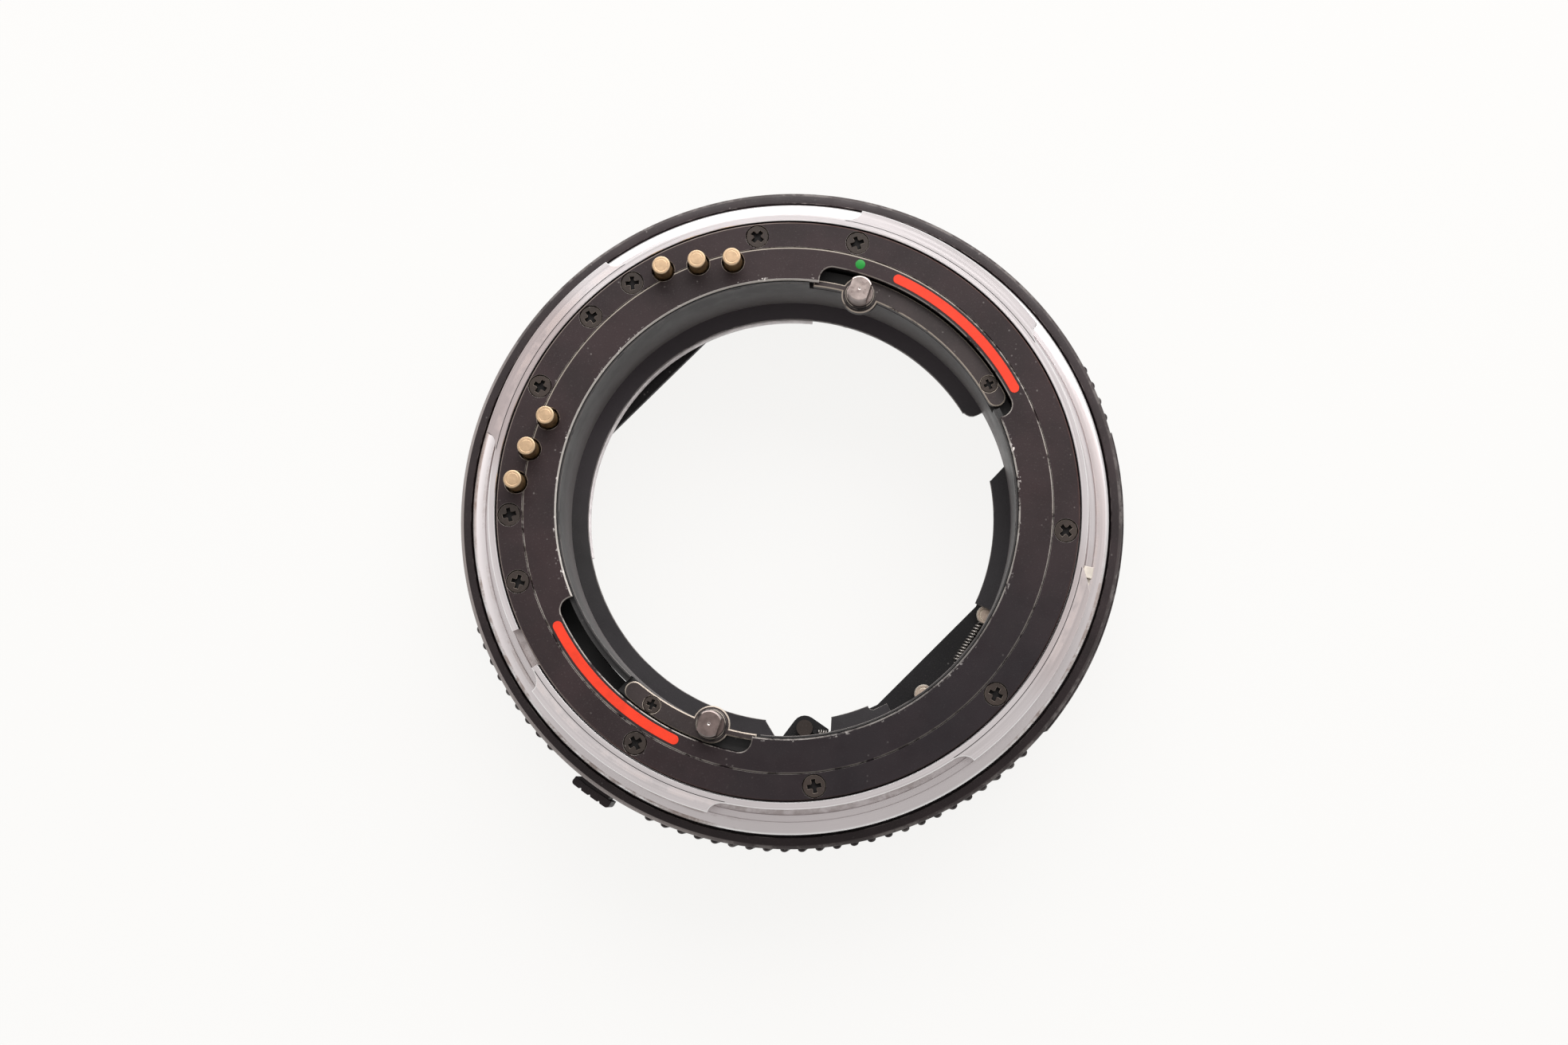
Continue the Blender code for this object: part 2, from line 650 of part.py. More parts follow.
def build_rear_plates(mat):
    """The two black plates on the rear face: the inner one is clamped under the outer one."""
    inner_edge = JOINT_R + JOINT_GAP / 2
    clamp_r = JOINT_R - JOINT_GAP / 2 + CLAMP_WIDTH
    clamp_top = PLATE_BOTTOM + CLAMP_THICKNESS
    outer = new_object("outer_plate", ring_mesh("outer_plate", [
        (inner_edge, REAR_FACE), (WALL_INNER_R - GAP, REAR_FACE), (WALL_INNER_R - GAP, PLATE_BOTTOM),
        (clamp_r + GAP, PLATE_BOTTOM), (clamp_r + GAP, clamp_top + GAP), (inner_edge, clamp_top + GAP),
    ]), mat)
    cut(outer, contact_holes("outer_contact_holes"))
    cut(outer, hole_set("plate_holes", plate_screw_places(), screw_profile(
        REAR_FACE, SCREW_HEAD_R, SCREW_SHANK_R, SCREW_SINK, SCREW_LENGTH, SCREW_GAP), 8))
    lip_bottom = REAR_FACE - PLATE_LIP_THICKNESS
    outer_edge = JOINT_R - JOINT_GAP / 2
    inner = new_object("inner_plate", ring_mesh("inner_plate", [
        (INNER_PLATE_R, lip_bottom), (LEDGE_R + GAP, lip_bottom), (LEDGE_R + GAP, PLATE_BOTTOM),
        (clamp_r, PLATE_BOTTOM), (clamp_r, clamp_top), (outer_edge, clamp_top),
        (outer_edge, REAR_FACE), (INNER_PLATE_R, REAR_FACE),
    ]), mat)
    cut(inner, contact_holes("inner_contact_holes"))
    notches = []
    for i, span in enumerate(NOTCH_SPANS):
        outline = rounded_sector(INNER_PLATE_R - OVERRUN, NOTCH_R, *span, NOTCH_CORNER)
        notches.append(prism_mesh(f"notch_{i}", outline, lip_bottom - OVERRUN, REAR_FACE + OVERRUN))
    cut(inner, joined_mesh("notches", notches))
    return outer, inner


def build_plate_screws(mat):
    """The countersunk screws of the outer plate, all alike."""
    profile = screw_profile(REAR_FACE - FINE_STEP, SCREW_HEAD_R, SCREW_SHANK_R, SCREW_SINK, SCREW_LENGTH)
    place_copies("plate_screw", plate_screw_places(), profile, mat, 8)


def build_contacts(block_mat, gold, spring_mat):
    """The insulating blocks with their moulded-in front pads, spring pins and springs."""
    stem_bottom = LEDGE_TOP - CONTACT_COLLAR_THICKNESS - CONTACT_STEM_LENGTH
    bore_bottom = stem_bottom - CONTACT_TRAVEL - CONTACT_ROOM
    face = COVER_BOTTOM + GAP
    for i, (group, span) in enumerate(zip(CONTACT_GROUPS, block_spans())):
        name = f"contact_block_{'ab'[i]}"
        outline = sector(*BLOCK_R, *span)
        block = new_object(name, prism_mesh(name, outline, face + PAD_PROUD, LEDGE_TOP), block_mat)
        places = [polar(radius, angle) for angle, radius in group]
        add(block, hole_set(f"pads_{i}", places, [
            (PAD_R, face), (PAD_R, face + 2 * PAD_PROUD)], 8))
        cut(block, hole_set(f"bores_{i}", places, [
            (CONTACT_BORE_R, bore_bottom), (CONTACT_BORE_R, LEDGE_TOP + OVERRUN)], 8))
    collar_bottom = LEDGE_TOP - CONTACT_COLLAR_THICKNESS
    tip = REAR_FACE + CONTACT_PROUD
    for i, (x, y) in enumerate(contact_places()):
        new_object(f"contact_pin_{i + 1}", turned_mesh("pin", [
            (CONTACT_STEM_R, stem_bottom), (CONTACT_STEM_R, collar_bottom),
            (CONTACT_COLLAR_R, collar_bottom), (CONTACT_COLLAR_R, LEDGE_TOP),
            (CONTACT_PIN_R, LEDGE_TOP), (CONTACT_PIN_R, tip - CONTACT_TIP_EDGE), (CONTACT_TIP_R, tip),
        ], 8), gold, (x, y, 0.0))
        coil = coil_mesh("coil", (0.0, 0.0, bore_bottom + GAP), (0.0, 0.0, collar_bottom - GAP),
                         CONTACT_COIL_R, CONTACT_WIRE_R, 3, 5)
        new_object(f"contact_spring_{i + 1}", coil, spring_mat, (x, y, 0.0))


def build_drive_ring(mat):
    """The turned ring that carries the shutter drive from the camera to the lens."""
    outer = RING_R + RING_WALL
    lip = RING_FLOOR_R + FINE_STEP + RING_LIP_WIDTH
    lip_bottom = RING_BOTTOM - RING_LIP_DEPTH
    rim = REAR_FACE - PLATE_LIP_THICKNESS - GAP
    profile = [
        (RING_FLOOR_R, RING_BOTTOM), (outer, RING_BOTTOM),
        (outer, RING_FLANGE_BOTTOM), (RING_FLANGE_R, RING_FLANGE_BOTTOM),
        (RING_FLANGE_R, RING_FLANGE_TOP), (outer, RING_FLANGE_TOP), (outer, rim), (RING_R, rim),
        (RING_R, RING_FLOOR_TOP), (RING_FLOOR_R, RING_FLOOR_TOP),
    ]
    ring = new_object("drive_ring", ring_mesh("drive_ring", profile), mat)
    add(ring, prism_mesh("ring_lip", sector(lip - RING_LIP_WIDTH, lip, *RING_LIP_SPAN),
                         lip_bottom, RING_BOTTOM + 2 * FINE_STEP))
    claws = []
    for i, angle in enumerate(DRIVE_ANGLES):
        claw = prism_mesh(f"claw_{i}", claw_outline(), COVER_BOTTOM + FINE_STEP, RING_BOTTOM + BITE)
        claw.transform(Matrix.Rotation(math.radians(angle), 4, "Z"))
        claws.append(claw)
    add(ring, joined_mesh("claws", claws))
    flange_gap = sector(outer + FINE_STEP, RING_FLANGE_R + OVERRUN,
                        RING_FLANGE_SPAN[1] - 360.0, RING_FLANGE_SPAN[0])
    cut(ring, prism_mesh("flange_gap", flange_gap, RING_FLANGE_BOTTOM - OVERRUN, RING_FLANGE_TOP + OVERRUN))
    for i, (start, end) in enumerate(ARM_ENDS):
        play = along(OVERRUN, RING_R)
        outline = sector(RING_R - OVERRUN, outer + OVERRUN, start - play, end + play)
        cut(ring, prism_mesh(f"arm_seat_{i}", outline, RING_FLANGE_TOP, rim + OVERRUN))
    cut(ring, joined_mesh("floor_cuts", floor_cuts()))
    stem = [(DRIVE_STEM_R + GAP, ARM_BOTTOM - DRIVE_STEM_DEPTH - GAP), (DRIVE_STEM_R + GAP, ARM_TOP)]
    cut(ring, hole_set("stem_holes", drive_places(), stem))
    cut(ring, hole_set("arm_screw_holes", arm_screw_places(), arm_screw_profile(SCREW_GAP), 10))
    return ring


def claw_outline():
    """A block with a radial slot that takes the flats of a drive pin, drawn on the X axis."""
    half = CLAW_WIDTH / 2
    slot = DRIVE_PIN_FLAT + GAP / 2
    inner, outer = CLAW_R
    floor = DRIVE_R + DRIVE_PIN_R + FINE_STEP
    return [(inner, -half), (outer, -half), (outer, half), (inner, half),
            (inner, slot), (floor, slot), (floor, -slot), (inner, -slot)]


def floor_cuts():
    """The cut-outs of the ring's floor: a notch, the window over the springs and the pawl gap."""
    edge = RING_R + GAP
    inside = RING_FLOOR_R - OVERRUN
    low, high = RING_BOTTOM - RING_LIP_DEPTH - GAP, RING_FLOOR_TOP + OVERRUN
    step, ledge = RING_FLOOR_R + FINE_STEP, RING_FLOOR_R + RING_LIP_WIDTH
    slant = RING_FLOOR_R + 0.4 * RING_FLOOR_WIDTH
    notch = arc(edge, 13.6, 29.0) + [polar(slant, 29.2), polar(step, 30.4), polar(inside, 31.0)]
    notch += [polar(inside, 10.3), polar(RING_FLOOR_R, 10.6)]
    window = arc(edge, -62.4, -24.9) + [polar(inside, -24.9), polar(inside, -67.4)]
    window += [polar(step, -67.4), polar(ledge, -66.4), polar(ledge, -62.4)]
    gap = arc(edge, -93.2, -79.2) + [polar(RING_FLOOR_R, -78.1), polar(inside, -78.1)]
    gap += [polar(inside, -96.4), polar(RING_FLOOR_R, -96.4)]
    outlines = (("notch", notch), ("window", window), ("pawl_gap", gap))
    return [prism_mesh(name, outline, low, high) for name, outline in outlines]


def drive_places():
    """Where the drive pins stand."""
    return [polar(DRIVE_R, angle) for angle in DRIVE_ANGLES]


def arm_screw_places():
    """Where the arm screws stand."""
    return [polar(ARM_SCREW_R, angle) for angle in ARM_SCREW_ANGLES]


def arm_screw_profile(grow):
    """The arm screw or, grown by a clearance, its hole."""
    return screw_profile(ARM_TOP - FINE_STEP, ARM_SCREW_HEAD_R, ARM_SCREW_SHANK_R, ARM_SCREW_SINK,
                         ARM_SCREW_LENGTH, grow)


def arm_outline(angle, start, end):
    """An arm with its round boss, as one outline."""
    inner, outer = ARM_R
    centre = polar(DRIVE_R, angle)

    def on_boss(radius, side):
        point = polar(radius, angle + side * circle_crossing(radius, DRIVE_R, BOSS_R))
        return math.degrees(math.atan2(point[1] - centre[1], point[0] - centre[0]))

    low_in = on_boss(inner, -1)
    tail_in = on_boss(inner, 1)
    tail_out = on_boss(ARM_TAIL_R, 1)
    low_out = on_boss(outer, -1)
    while tail_in > low_in:
        tail_in -= 360.0
    while low_out > tail_out:
        low_out -= 360.0
    outline = arc(inner, start, angle - circle_crossing(inner, DRIVE_R, BOSS_R))
    outline += bend(BOSS_R, low_in, tail_in, centre)[1:]
    outline += arc(inner, angle + circle_crossing(inner, DRIVE_R, BOSS_R), end)[1:]
    outline += arc(ARM_TAIL_R, end, angle + circle_crossing(ARM_TAIL_R, DRIVE_R, BOSS_R))
    outline += bend(BOSS_R, tail_out, low_out, centre)[1:]
    outline += arc(outer, angle - circle_crossing(outer, DRIVE_R, BOSS_R), start + along(0.35 * ARM_WIDTH, outer))[1:]
    outline += [polar((inner + outer) / 2, start - along(0.12 * ARM_WIDTH, outer))]
    return list(reversed(outline))


def build_drive_arms(mat, pin_mat, screw_mat):
    """The two arms, each with its drive pin, and the screws that hold them to the ring."""
    for name, angle, (start, end) in zip(("upper", "lower"), DRIVE_ANGLES, ARM_ENDS):
        outline = arm_outline(angle, start, end)
        arm = new_object(f"drive_arm_{name}", prism_mesh(f"arm_{name}", outline, ARM_BOTTOM, ARM_TOP), mat)
        centre = polar(DRIVE_R, angle)
        hole = [(DRIVE_STEM_R + GAP, ARM_BOTTOM - OVERRUN), (DRIVE_STEM_R + GAP, ARM_TOP + OVERRUN)]
        cut(arm, turned_mesh(f"pin_hole_{name}", hole, 12, centre))
        screw = polar(ARM_SCREW_R, ARM_SCREW_ANGLES[DRIVE_ANGLES.index(angle)])
        cut(arm, turned_mesh(f"arm_hole_{name}", arm_screw_profile(SCREW_GAP), 10, screw))
        build_drive_pin(name, angle, pin_mat)
    place_copies("arm_screw", arm_screw_places(), arm_screw_profile(0.0), screw_mat)


def build_drive_pin(name, angle, mat):
    """A drive pin: round stem and collar, and a head with two flats along the radius."""
    collar = ARM_TOP + GAP
    head = collar + DRIVE_COLLAR_THICKNESS
    tip = REAR_FACE + DRIVE_PIN_PROUD
    pin = new_object(f"drive_pin_{name}", turned_mesh(f"drive_pin_{name}", [
        (DRIVE_STEM_R, ARM_BOTTOM - DRIVE_STEM_DEPTH), (DRIVE_STEM_R, collar), (DRIVE_COLLAR_R, collar),
        (DRIVE_COLLAR_R, head), (DRIVE_PIN_R, head), (DRIVE_PIN_R, tip - EDGE),
        (DRIVE_PIN_R - EDGE, tip),
    ], 16, polar(DRIVE_R, angle)), mat)
    flats = []
    for side in (-1, 1):
        near, far = sorted((side * DRIVE_PIN_FLAT, side * 2 * DRIVE_PIN_R))
        outline = [(DRIVE_R - 2 * DRIVE_PIN_R, near), (DRIVE_R + 2 * DRIVE_PIN_R, near),
                   (DRIVE_R + 2 * DRIVE_PIN_R, far), (DRIVE_R - 2 * DRIVE_PIN_R, far)]
        flat = prism_mesh(f"flat_{name}_{side}", outline, head + 2 * FINE_STEP, tip + OVERRUN)
        flat.transform(Matrix.Rotation(math.radians(angle), 4, "Z"))
        flats.append(flat)
    cut(pin, joined_mesh(f"flats_{name}", flats))
    return pin


def cover_screw_places():
    """Where the mechanism plate's screws stand."""
    return [polar(COVER_SCREW_R, angle) for angle in COVER_SCREW_ANGLES]


def cover_bore():
    """The mechanism plate's inner outline: a bore with two ears cut straight along a chord."""
    points = []
    reach = math.degrees(math.acos(EAR_CHORD / EAR_R))
    angle = EAR_SPANS[1][1] - 360.0
    for (start, end), middle in zip(EAR_SPANS, EAR_MIDDLES):
        points += arc(COVER_BORE_R, angle, start)
        points += arc(EAR_R, start, middle - reach)
        points += arc(EAR_R, middle + reach, end)
        angle = end
    return points


def build_mechanism_plate(mat):
    """The flat plate behind the lens bayonet, with an ear on each side of the light path."""
    plate = new_object("mechanism_plate", prism_mesh(
        "mechanism_plate", arc(COVER_R, 0.0, 360.0)[:-1], COVER_BOTTOM, COVER_TOP), mat)
    low, high = COVER_BOTTOM - OVERRUN, COVER_TOP + OVERRUN
    cut(plate, prism_mesh("cover_bore", cover_bore(), low, high))
    root = polar(COVER_BORE_R + OVERRUN, PAWL_PIVOT_PLACE[0])
    tab = capsule(PAWL_PIVOT, root, PAWL_TAB_R, PAWL_HEAD_R - GAP)
    add(plate, prism_mesh("pawl_tab", tab, COVER_BOTTOM, COVER_TOP))
    windows = [prism_mesh(f"window_{i}", sector(
        BLOCK_R[0] - GAP, BLOCK_R[1] + GAP, start - BAY_PLAY, end + BAY_PLAY), low, high)
        for i, (start, end) in enumerate(block_spans())]
    cut(plate, joined_mesh("windows", windows))
    screws = flipped(screw_profile(
        COVER_BOTTOM, COVER_SCREW_HEAD_R, SCREW_SHANK_R, COVER_SCREW_SINK, COVER_SCREW_LENGTH, SCREW_GAP),
        COVER_BOTTOM)
    cut(plate, hole_set("cover_screw_holes", cover_screw_places(), screws, 8))
    pivots = [SPRING_STUD, LEVER_STUD, PAWL_PIVOT]
    hole = [(STUD_SHANK_R + SCREW_GAP, low), (STUD_SHANK_R + SCREW_GAP, high)]
    cut(plate, hole_set("pivot_holes", pivots, hole, 8))
    lock = [(LOCK_PIN_R + GAP, low), (LOCK_PIN_R + GAP, high)]
    cut(plate, turned_mesh("lock_hole", lock, 12, polar(LOCK_R, LOCK_ANGLE)))
    add(plate, turned_mesh("plate_post", [
        (POST_R, COVER_BOTTOM + 2 * FINE_STEP), (POST_R, STUD_TOP)], 8, PLATE_POST))
    return plate


def build_cover_screws(mat):
    """The screws that hold the mechanism plate to the web."""
    profile = flipped(screw_profile(
        COVER_BOTTOM + SCREW_GAP, COVER_SCREW_HEAD_R, SCREW_SHANK_R, COVER_SCREW_SINK,
        COVER_SCREW_LENGTH),
        COVER_BOTTOM + SCREW_GAP)
    place_copies("mechanism_screw", cover_screw_places(), profile, mat, 8)


def base_screw_places():
    """Where the screws between web and rear bayonet stand."""
    return [polar(BASE_SCREW_R, angle) for angle in BASE_SCREW_ANGLES]


def base_screw_profile(grow):
    """A cheese-head screw that points up into the rear bayonet's flange."""
    seat = WEB_BOTTOM + GAP + BASE_HEAD_THICKNESS
    tip = REAR_SEAT - GROOVE_DEPTH - BASE_TIP_COVER
    return [(BASE_HEAD_R + grow, WEB_BOTTOM + GAP - (OVERRUN if grow else 0.0)),
            (BASE_HEAD_R + grow, seat + grow), (BASE_SHANK_R + grow, seat + grow),
            (BASE_SHANK_R + grow, tip + grow)]


def base_screw_holes(name):
    """The stepped holes for the base screws."""
    return hole_set(name, base_screw_places(), base_screw_profile(SCREW_GAP), 8)


def build_base_screws(mat):
    """The screws that hold the rear bayonet to the web."""
    place_copies("base_screw", base_screw_places(), base_screw_profile(0.0), mat, 8)


def build_levers(black, brass, steel):
    """The studs, the stop lever, the interlock pawl and their springs."""
    stud = [(STUD_SHANK_R, COVER_BOTTOM + FINE_STEP), (STUD_SHANK_R, STUD_HEAD_BOTTOM),
            (STUD_HEAD_R, STUD_HEAD_BOTTOM), (STUD_HEAD_R, STUD_TOP)]
    new_object("spring_stud", turned_mesh("spring_stud", stud, 16, SPRING_STUD), brass)
    new_object("lever_stud", turned_mesh("lever_stud", stud, 16, LEVER_STUD), brass)
    pivot = stud[:2] + [(PAWL_PIVOT_HEAD_R, STUD_HEAD_BOTTOM), (PAWL_PIVOT_HEAD_R, STUD_TOP)]
    new_object("pawl_pivot", turned_mesh("pawl_pivot", pivot, 16, PAWL_PIVOT), black)

    post_to = Vector(LEVER_POST) - Vector(LEVER_STUD)
    lever = new_object("stop_lever", prism_mesh("stop_lever", capsule(
        (0.0, 0.0), tuple(post_to), LEVER_WIDTH / 2, LEVER_HEAD_R), LEVER_BOTTOM, LEVER_TOP), black,
        (*LEVER_STUD, 0.0))
    add(lever, turned_mesh("lever_post", [
        (POST_R, LEVER_BOTTOM + FINE_STEP), (POST_R, STUD_TOP)], 8, tuple(post_to)))
    hole = [(STUD_SHANK_R + GAP, LEVER_BOTTOM - OVERRUN), (STUD_SHANK_R + GAP, LEVER_TOP + OVERRUN)]
    cut(lever, turned_mesh("lever_hole", hole, 12))

    middle = (LEVER_TOP + COVER_TOP) / 2 + GAP
    pull = (Vector(LEVER_POST) - Vector(SPRING_STUD)).normalized()
    start = Vector(SPRING_STUD) + pull * (STUD_SHANK_R + SPRING_HOOK)
    end = Vector(LEVER_POST) - pull * (POST_R + 2 * GAP)
    new_object("return_spring", coil_mesh(
        "return_spring", (*start, middle), (*end, middle), RETURN_COIL_R, RETURN_WIRE_R, 11, 5, 3), steel)

    outline = pawl_outline()
    pawl = new_object("interlock_pawl", prism_mesh(
        "interlock_pawl", outline, LEVER_BOTTOM, LEVER_TOP), black, (*PAWL_PIVOT, 0.0))
    post = tuple(Vector(PAWL_POST) - Vector(PAWL_PIVOT))
    add(pawl, turned_mesh("pawl_post", [
        (POST_R, LEVER_BOTTOM + FINE_STEP), (POST_R, STUD_TOP)], 8, post))
    cut(pawl, turned_mesh("pawl_hole", hole, 12))
    pull = (Vector(PLATE_POST) - Vector(PAWL_POST)).normalized()
    start = Vector(PAWL_POST) + pull * (POST_R + GAP)
    end = Vector(PLATE_POST) - pull * (POST_R + GAP)
    height = LEVER_TOP + 1.5 * GAP
    new_object("pawl_spring", coil_mesh(
        "pawl_spring", (*start, height), (*end, height), PAWL_COIL_R, PAWL_WIRE_R, 5, 5, 3), steel)


def pawl_outline():
    """The pawl seen from the rear, about its pivot: a round head that widens outwards."""
    corners = [Vector(p) for p in PAWL_CORNERS]
    outline = []
    first, last = corners[0], corners[-1]
    for corner, side in ((last, -1), (first, 1)):
        heading = math.atan2(corner.y, corner.x)
        spread = math.acos(PAWL_HEAD_R / corner.length)
        outline.append(math.degrees(heading + side * spread))
    start, end = outline[1], outline[0]
    while end < start:
        end += 360.0
    return bend(PAWL_HEAD_R, start, end, (0.0, 0.0), 20.0) + [tuple(c) for c in reversed(corners)]


def front_screw_places():
    """Where the front bayonet's screws stand: at the middle of each inner lug."""
    middles = [FRONT_GAP_MIDDLE + 360.0 * (i + 0.5) / LUG_COUNT for i in range(LUG_COUNT)]
    return [polar(FRONT_SCREW_R, middle) for middle in middles]


def build_front_bayonet(mat):
    """The chromed female bayonet that takes a lens, with its countersunk screws in place."""
    skirt_r = CAVITY_R - GAP
    skirt_top = BAYONET_RISE - LUG_DEPTH - GAP
    flange = FRONT_FLANGE_THICKNESS
    chamfer = EDGE
    ring = new_object("front_bayonet", ring_mesh("front_bayonet", [
        (FRONT_BORE_R, chamfer), (FRONT_BORE_R + chamfer, 0.0), (FRONT_RING_R - chamfer, 0.0),
        (FRONT_RING_R, chamfer), (FRONT_RING_R, flange), (skirt_r, flange), (skirt_r, skirt_top),
        (FRONT_BORE_R, skirt_top),
    ]), mat)
    narrow, wide = [], []
    for i in range(LUG_COUNT):
        middle = FRONT_GAP_MIDDLE + 360.0 * i / LUG_COUNT
        span = (middle - FRONT_GAP_SPAN / 2, middle + FRONT_GAP_SPAN / 2)
        narrow.append(prism_mesh(f"entry_{i}", sector(FRONT_BORE_R - OVERRUN, FRONT_GAP_R, *span),
                                 -OVERRUN, skirt_top + OVERRUN))
        play = along(FINE_STEP, skirt_r)
        wide.append(prism_mesh(f"skirt_gap_{i}", sector(
            FRONT_GAP_R - GAP, skirt_r + OVERRUN, span[0] + play, span[1] - play),
            flange + FINE_STEP, skirt_top + OVERRUN))
    cut(ring, joined_mesh("entries", narrow))
    cut(ring, joined_mesh("skirt_gaps", wide))
    sink = FRONT_SCREW_SINK
    head, shank = FRONT_SCREW_HEAD_R, FRONT_SCREW_SHANK_R
    cut(ring, hole_set("countersinks", front_screw_places(), [
        (head + GAP / 2, -OVERRUN), (head + GAP / 2, FINE_STEP), (shank + GAP / 2, sink)], 8))
    add(ring, hole_set("front_screws", front_screw_places(), [
        (head, FINE_STEP), (shank, sink), (shank, FRONT_FLANGE_THICKNESS / 2)], 8))
    return ring


def ramp_span():
    """The angles between which the slider's ramp rises, from just past the lock pin's collar."""
    start = LOCK_ANGLE + along(LOCK_COLLAR_R, LOCK_R)
    return start, start + SLIDER_TRAVEL


def cut_release_pocket(barrel):
    """The room in the web and the window in the wall for the lens release."""
    start, end = SLIDER_SPAN
    play = along(2.0 * GAP, SLIDER_R[0])
    low, high = WEB_BOTTOM - OVERRUN, SLIDER_TOP + GAP
    pocket = sector(WEB_R - OVERRUN, SLIDER_R[1] + GAP, start - SLIDER_TRAVEL - play, end + play)
    cut(barrel, prism_mesh("slider_pocket", pocket, low, high))
    ramp_start, ramp_end = ramp_span()
    room = sector(SLIDER_R[0] - GAP, SLIDER_R[1] + GAP / 2, ramp_start - SLIDER_TRAVEL - play,
                  ramp_end + RAMP_LAND + play)
    cut(barrel, prism_mesh("ramp_room", room, low, RAMP_TOP + GAP))
    window = sector(SLIDER_R[1], BARREL_R + GRIP_RISE + OVERRUN,
                    SLIDER_ARM_SPAN[0] - SLIDER_TRAVEL - play, SLIDER_ARM_SPAN[1] + play)
    cut(barrel, prism_mesh("release_window", window, WEB_BOTTOM, high))
    collar = [(LOCK_COLLAR_R + GAP, low), (LOCK_COLLAR_R + GAP, WEB_TOP + OVERRUN)]
    cut(barrel, turned_mesh("lock_room", collar, 12, polar(LOCK_R, LOCK_ANGLE)))


def ramp_mesh():
    """The ramp that lifts the lock pin by its collar, with a short flat land at its top."""
    start, end = ramp_span()
    inner, outer = SLIDER_R[0] + GAP / 3, SLIDER_R[1] - GAP / 3
    root = SLIDER_TOP - SLIDER_THICKNESS / 2
    slope = LOCK_LIFT / (end - start)
    run_in = start - (SLIDER_TOP - root) / slope / 2
    rings = []
    steps = 6
    stops = [run_in + (end - run_in) * i / steps for i in range(steps + 1)] + [end + RAMP_LAND]
    for angle in stops:
        rise = SLIDER_TOP + slope * (min(angle, end) - start)
        rings.append([(*polar(inner, angle), root), (*polar(outer, angle), root),
                      (*polar(outer, angle), rise), (*polar(inner, angle), rise)])
    return closed_mesh("ramp", rings, caps=True)


def build_release(mat, tab_mat, steel, spring_mat):
    """The release slider with its thumb tab, the lock pin and the pin's spring."""
    outline = sector(*SLIDER_R, *SLIDER_SPAN)
    slider = new_object("release_slider", prism_mesh(
        "release_slider", outline, SLIDER_BOTTOM, SLIDER_TOP), mat)
    arm = sector(SLIDER_R[1] - GAP, BARREL_R + GRIP_RISE, *SLIDER_ARM_SPAN)
    add(slider, prism_mesh("slider_arm", arm, SLIDER_BOTTOM, SLIDER_TOP))
    add(slider, ramp_mesh())
    half = along(LOCK_PIN_R + 2.0 * GAP, LOCK_R)
    slot = sector(LOCK_R - LOCK_PIN_R - GAP, LOCK_R + LOCK_PIN_R + GAP,
                  LOCK_ANGLE - half, LOCK_ANGLE + SLIDER_TRAVEL + half)
    cut(slider, prism_mesh("pin_slot", slot, SLIDER_BOTTOM - OVERRUN, RAMP_TOP + OVERRUN))

    middle = (SLIDER_BOTTOM + SLIDER_TOP) / 2
    tab = new_object("release_tab", prism_mesh("release_tab", rounded_sector(
        TAB_INNER_R, TAB_R, *TAB_SPAN, 0.45 * TAB_THICKNESS), middle - TAB_HEIGHT / 2, middle + TAB_HEIGHT / 2), tab_mat)
    grooves = []
    for i in range(3):
        angle = TAB_SPAN[0] + (TAB_SPAN[1] - TAB_SPAN[0]) * (i + 1) / 4
        spread = along(1.5 * TAB_GROOVE, TAB_R)
        outline = [polar(TAB_R - TAB_GROOVE, angle), polar(TAB_R + TAB_GROOVE, angle - spread),
                   polar(TAB_R + TAB_GROOVE, angle + spread)]
        grooves.append(prism_mesh(f"groove_{i}", outline, 0.0, TUBE_LENGTH))
    cut(tab, joined_mesh("tab_grooves", grooves))

    tip = BAYONET_RISE - LOCK_ENGAGE
    collar = SLIDER_TOP + GAP
    top = collar + LOCK_COLLAR_THICKNESS
    place = (*polar(LOCK_R, LOCK_ANGLE), 0.0)
    new_object("lock_pin", turned_mesh("lock_pin", [
        (LOCK_PIN_R - 2 * FINE_STEP, tip), (LOCK_PIN_R, tip + 2 * FINE_STEP), (LOCK_PIN_R, collar),
        (LOCK_COLLAR_R, collar), (LOCK_COLLAR_R, top)]), steel, place)
    coil = coil_mesh("lock_coil", (0.0, 0.0, top + GAP), (0.0, 0.0, FLANGE_BOTTOM - GAP),
                     LOCK_COIL_R, LOCK_WIRE_R, 3)
    new_object("lock_pin_spring", coil, spring_mat, place)


def bead_matrix():
    """Turns a small vertical shape outwards at the index bead's place."""
    x, y = polar(BARREL_R, BEAD_ANGLE)
    lean = Matrix.Rotation(math.radians(90.0), 4, "Y")
    turn = Matrix.Rotation(math.radians(BEAD_ANGLE), 4, "Z")
    return Matrix.Translation((x, y, BEAD_HEIGHT)) @ turn @ lean


def build_bead(mat):
    """The round index bead pressed into the barrel."""
    profile = [(BEAD_R, -BEAD_R), (BEAD_R, 0.0), (0.75 * BEAD_R, 0.7 * BEAD_RISE), (0.3 * BEAD_R, BEAD_RISE)]
    mesh = turned_mesh("index_bead", profile, 12)
    mesh.transform(bead_matrix())
    return new_object("index_bead", mesh, mat)


def add_stop_key(bayonet):
    """The small stop beside the last lug, whose end is relieved to make room for it."""
    half = math.degrees(STOP_KEY_WIDTH / 2 / LUG_R)
    relief = sector(WALL_R + FINE_STEP, LUG_R + OVERRUN, STOP_KEY_ANGLE - 3.3, STOP_KEY_ANGLE + 2.5)
    cut(bayonet, prism_mesh("key_relief", relief, REAR_SEAT + OVERRUN, REAR_FACE + OVERRUN))
    outline = sector(WALL_R - BITE, LUG_R - EDGE, STOP_KEY_ANGLE - half, STOP_KEY_ANGLE + half)
    low, high = REAR_FACE - LUG_DEPTH - 2 * FINE_STEP, REAR_FACE - STOP_KEY_SINK
    add(bayonet, prism_mesh("stop_key", outline, low, high))


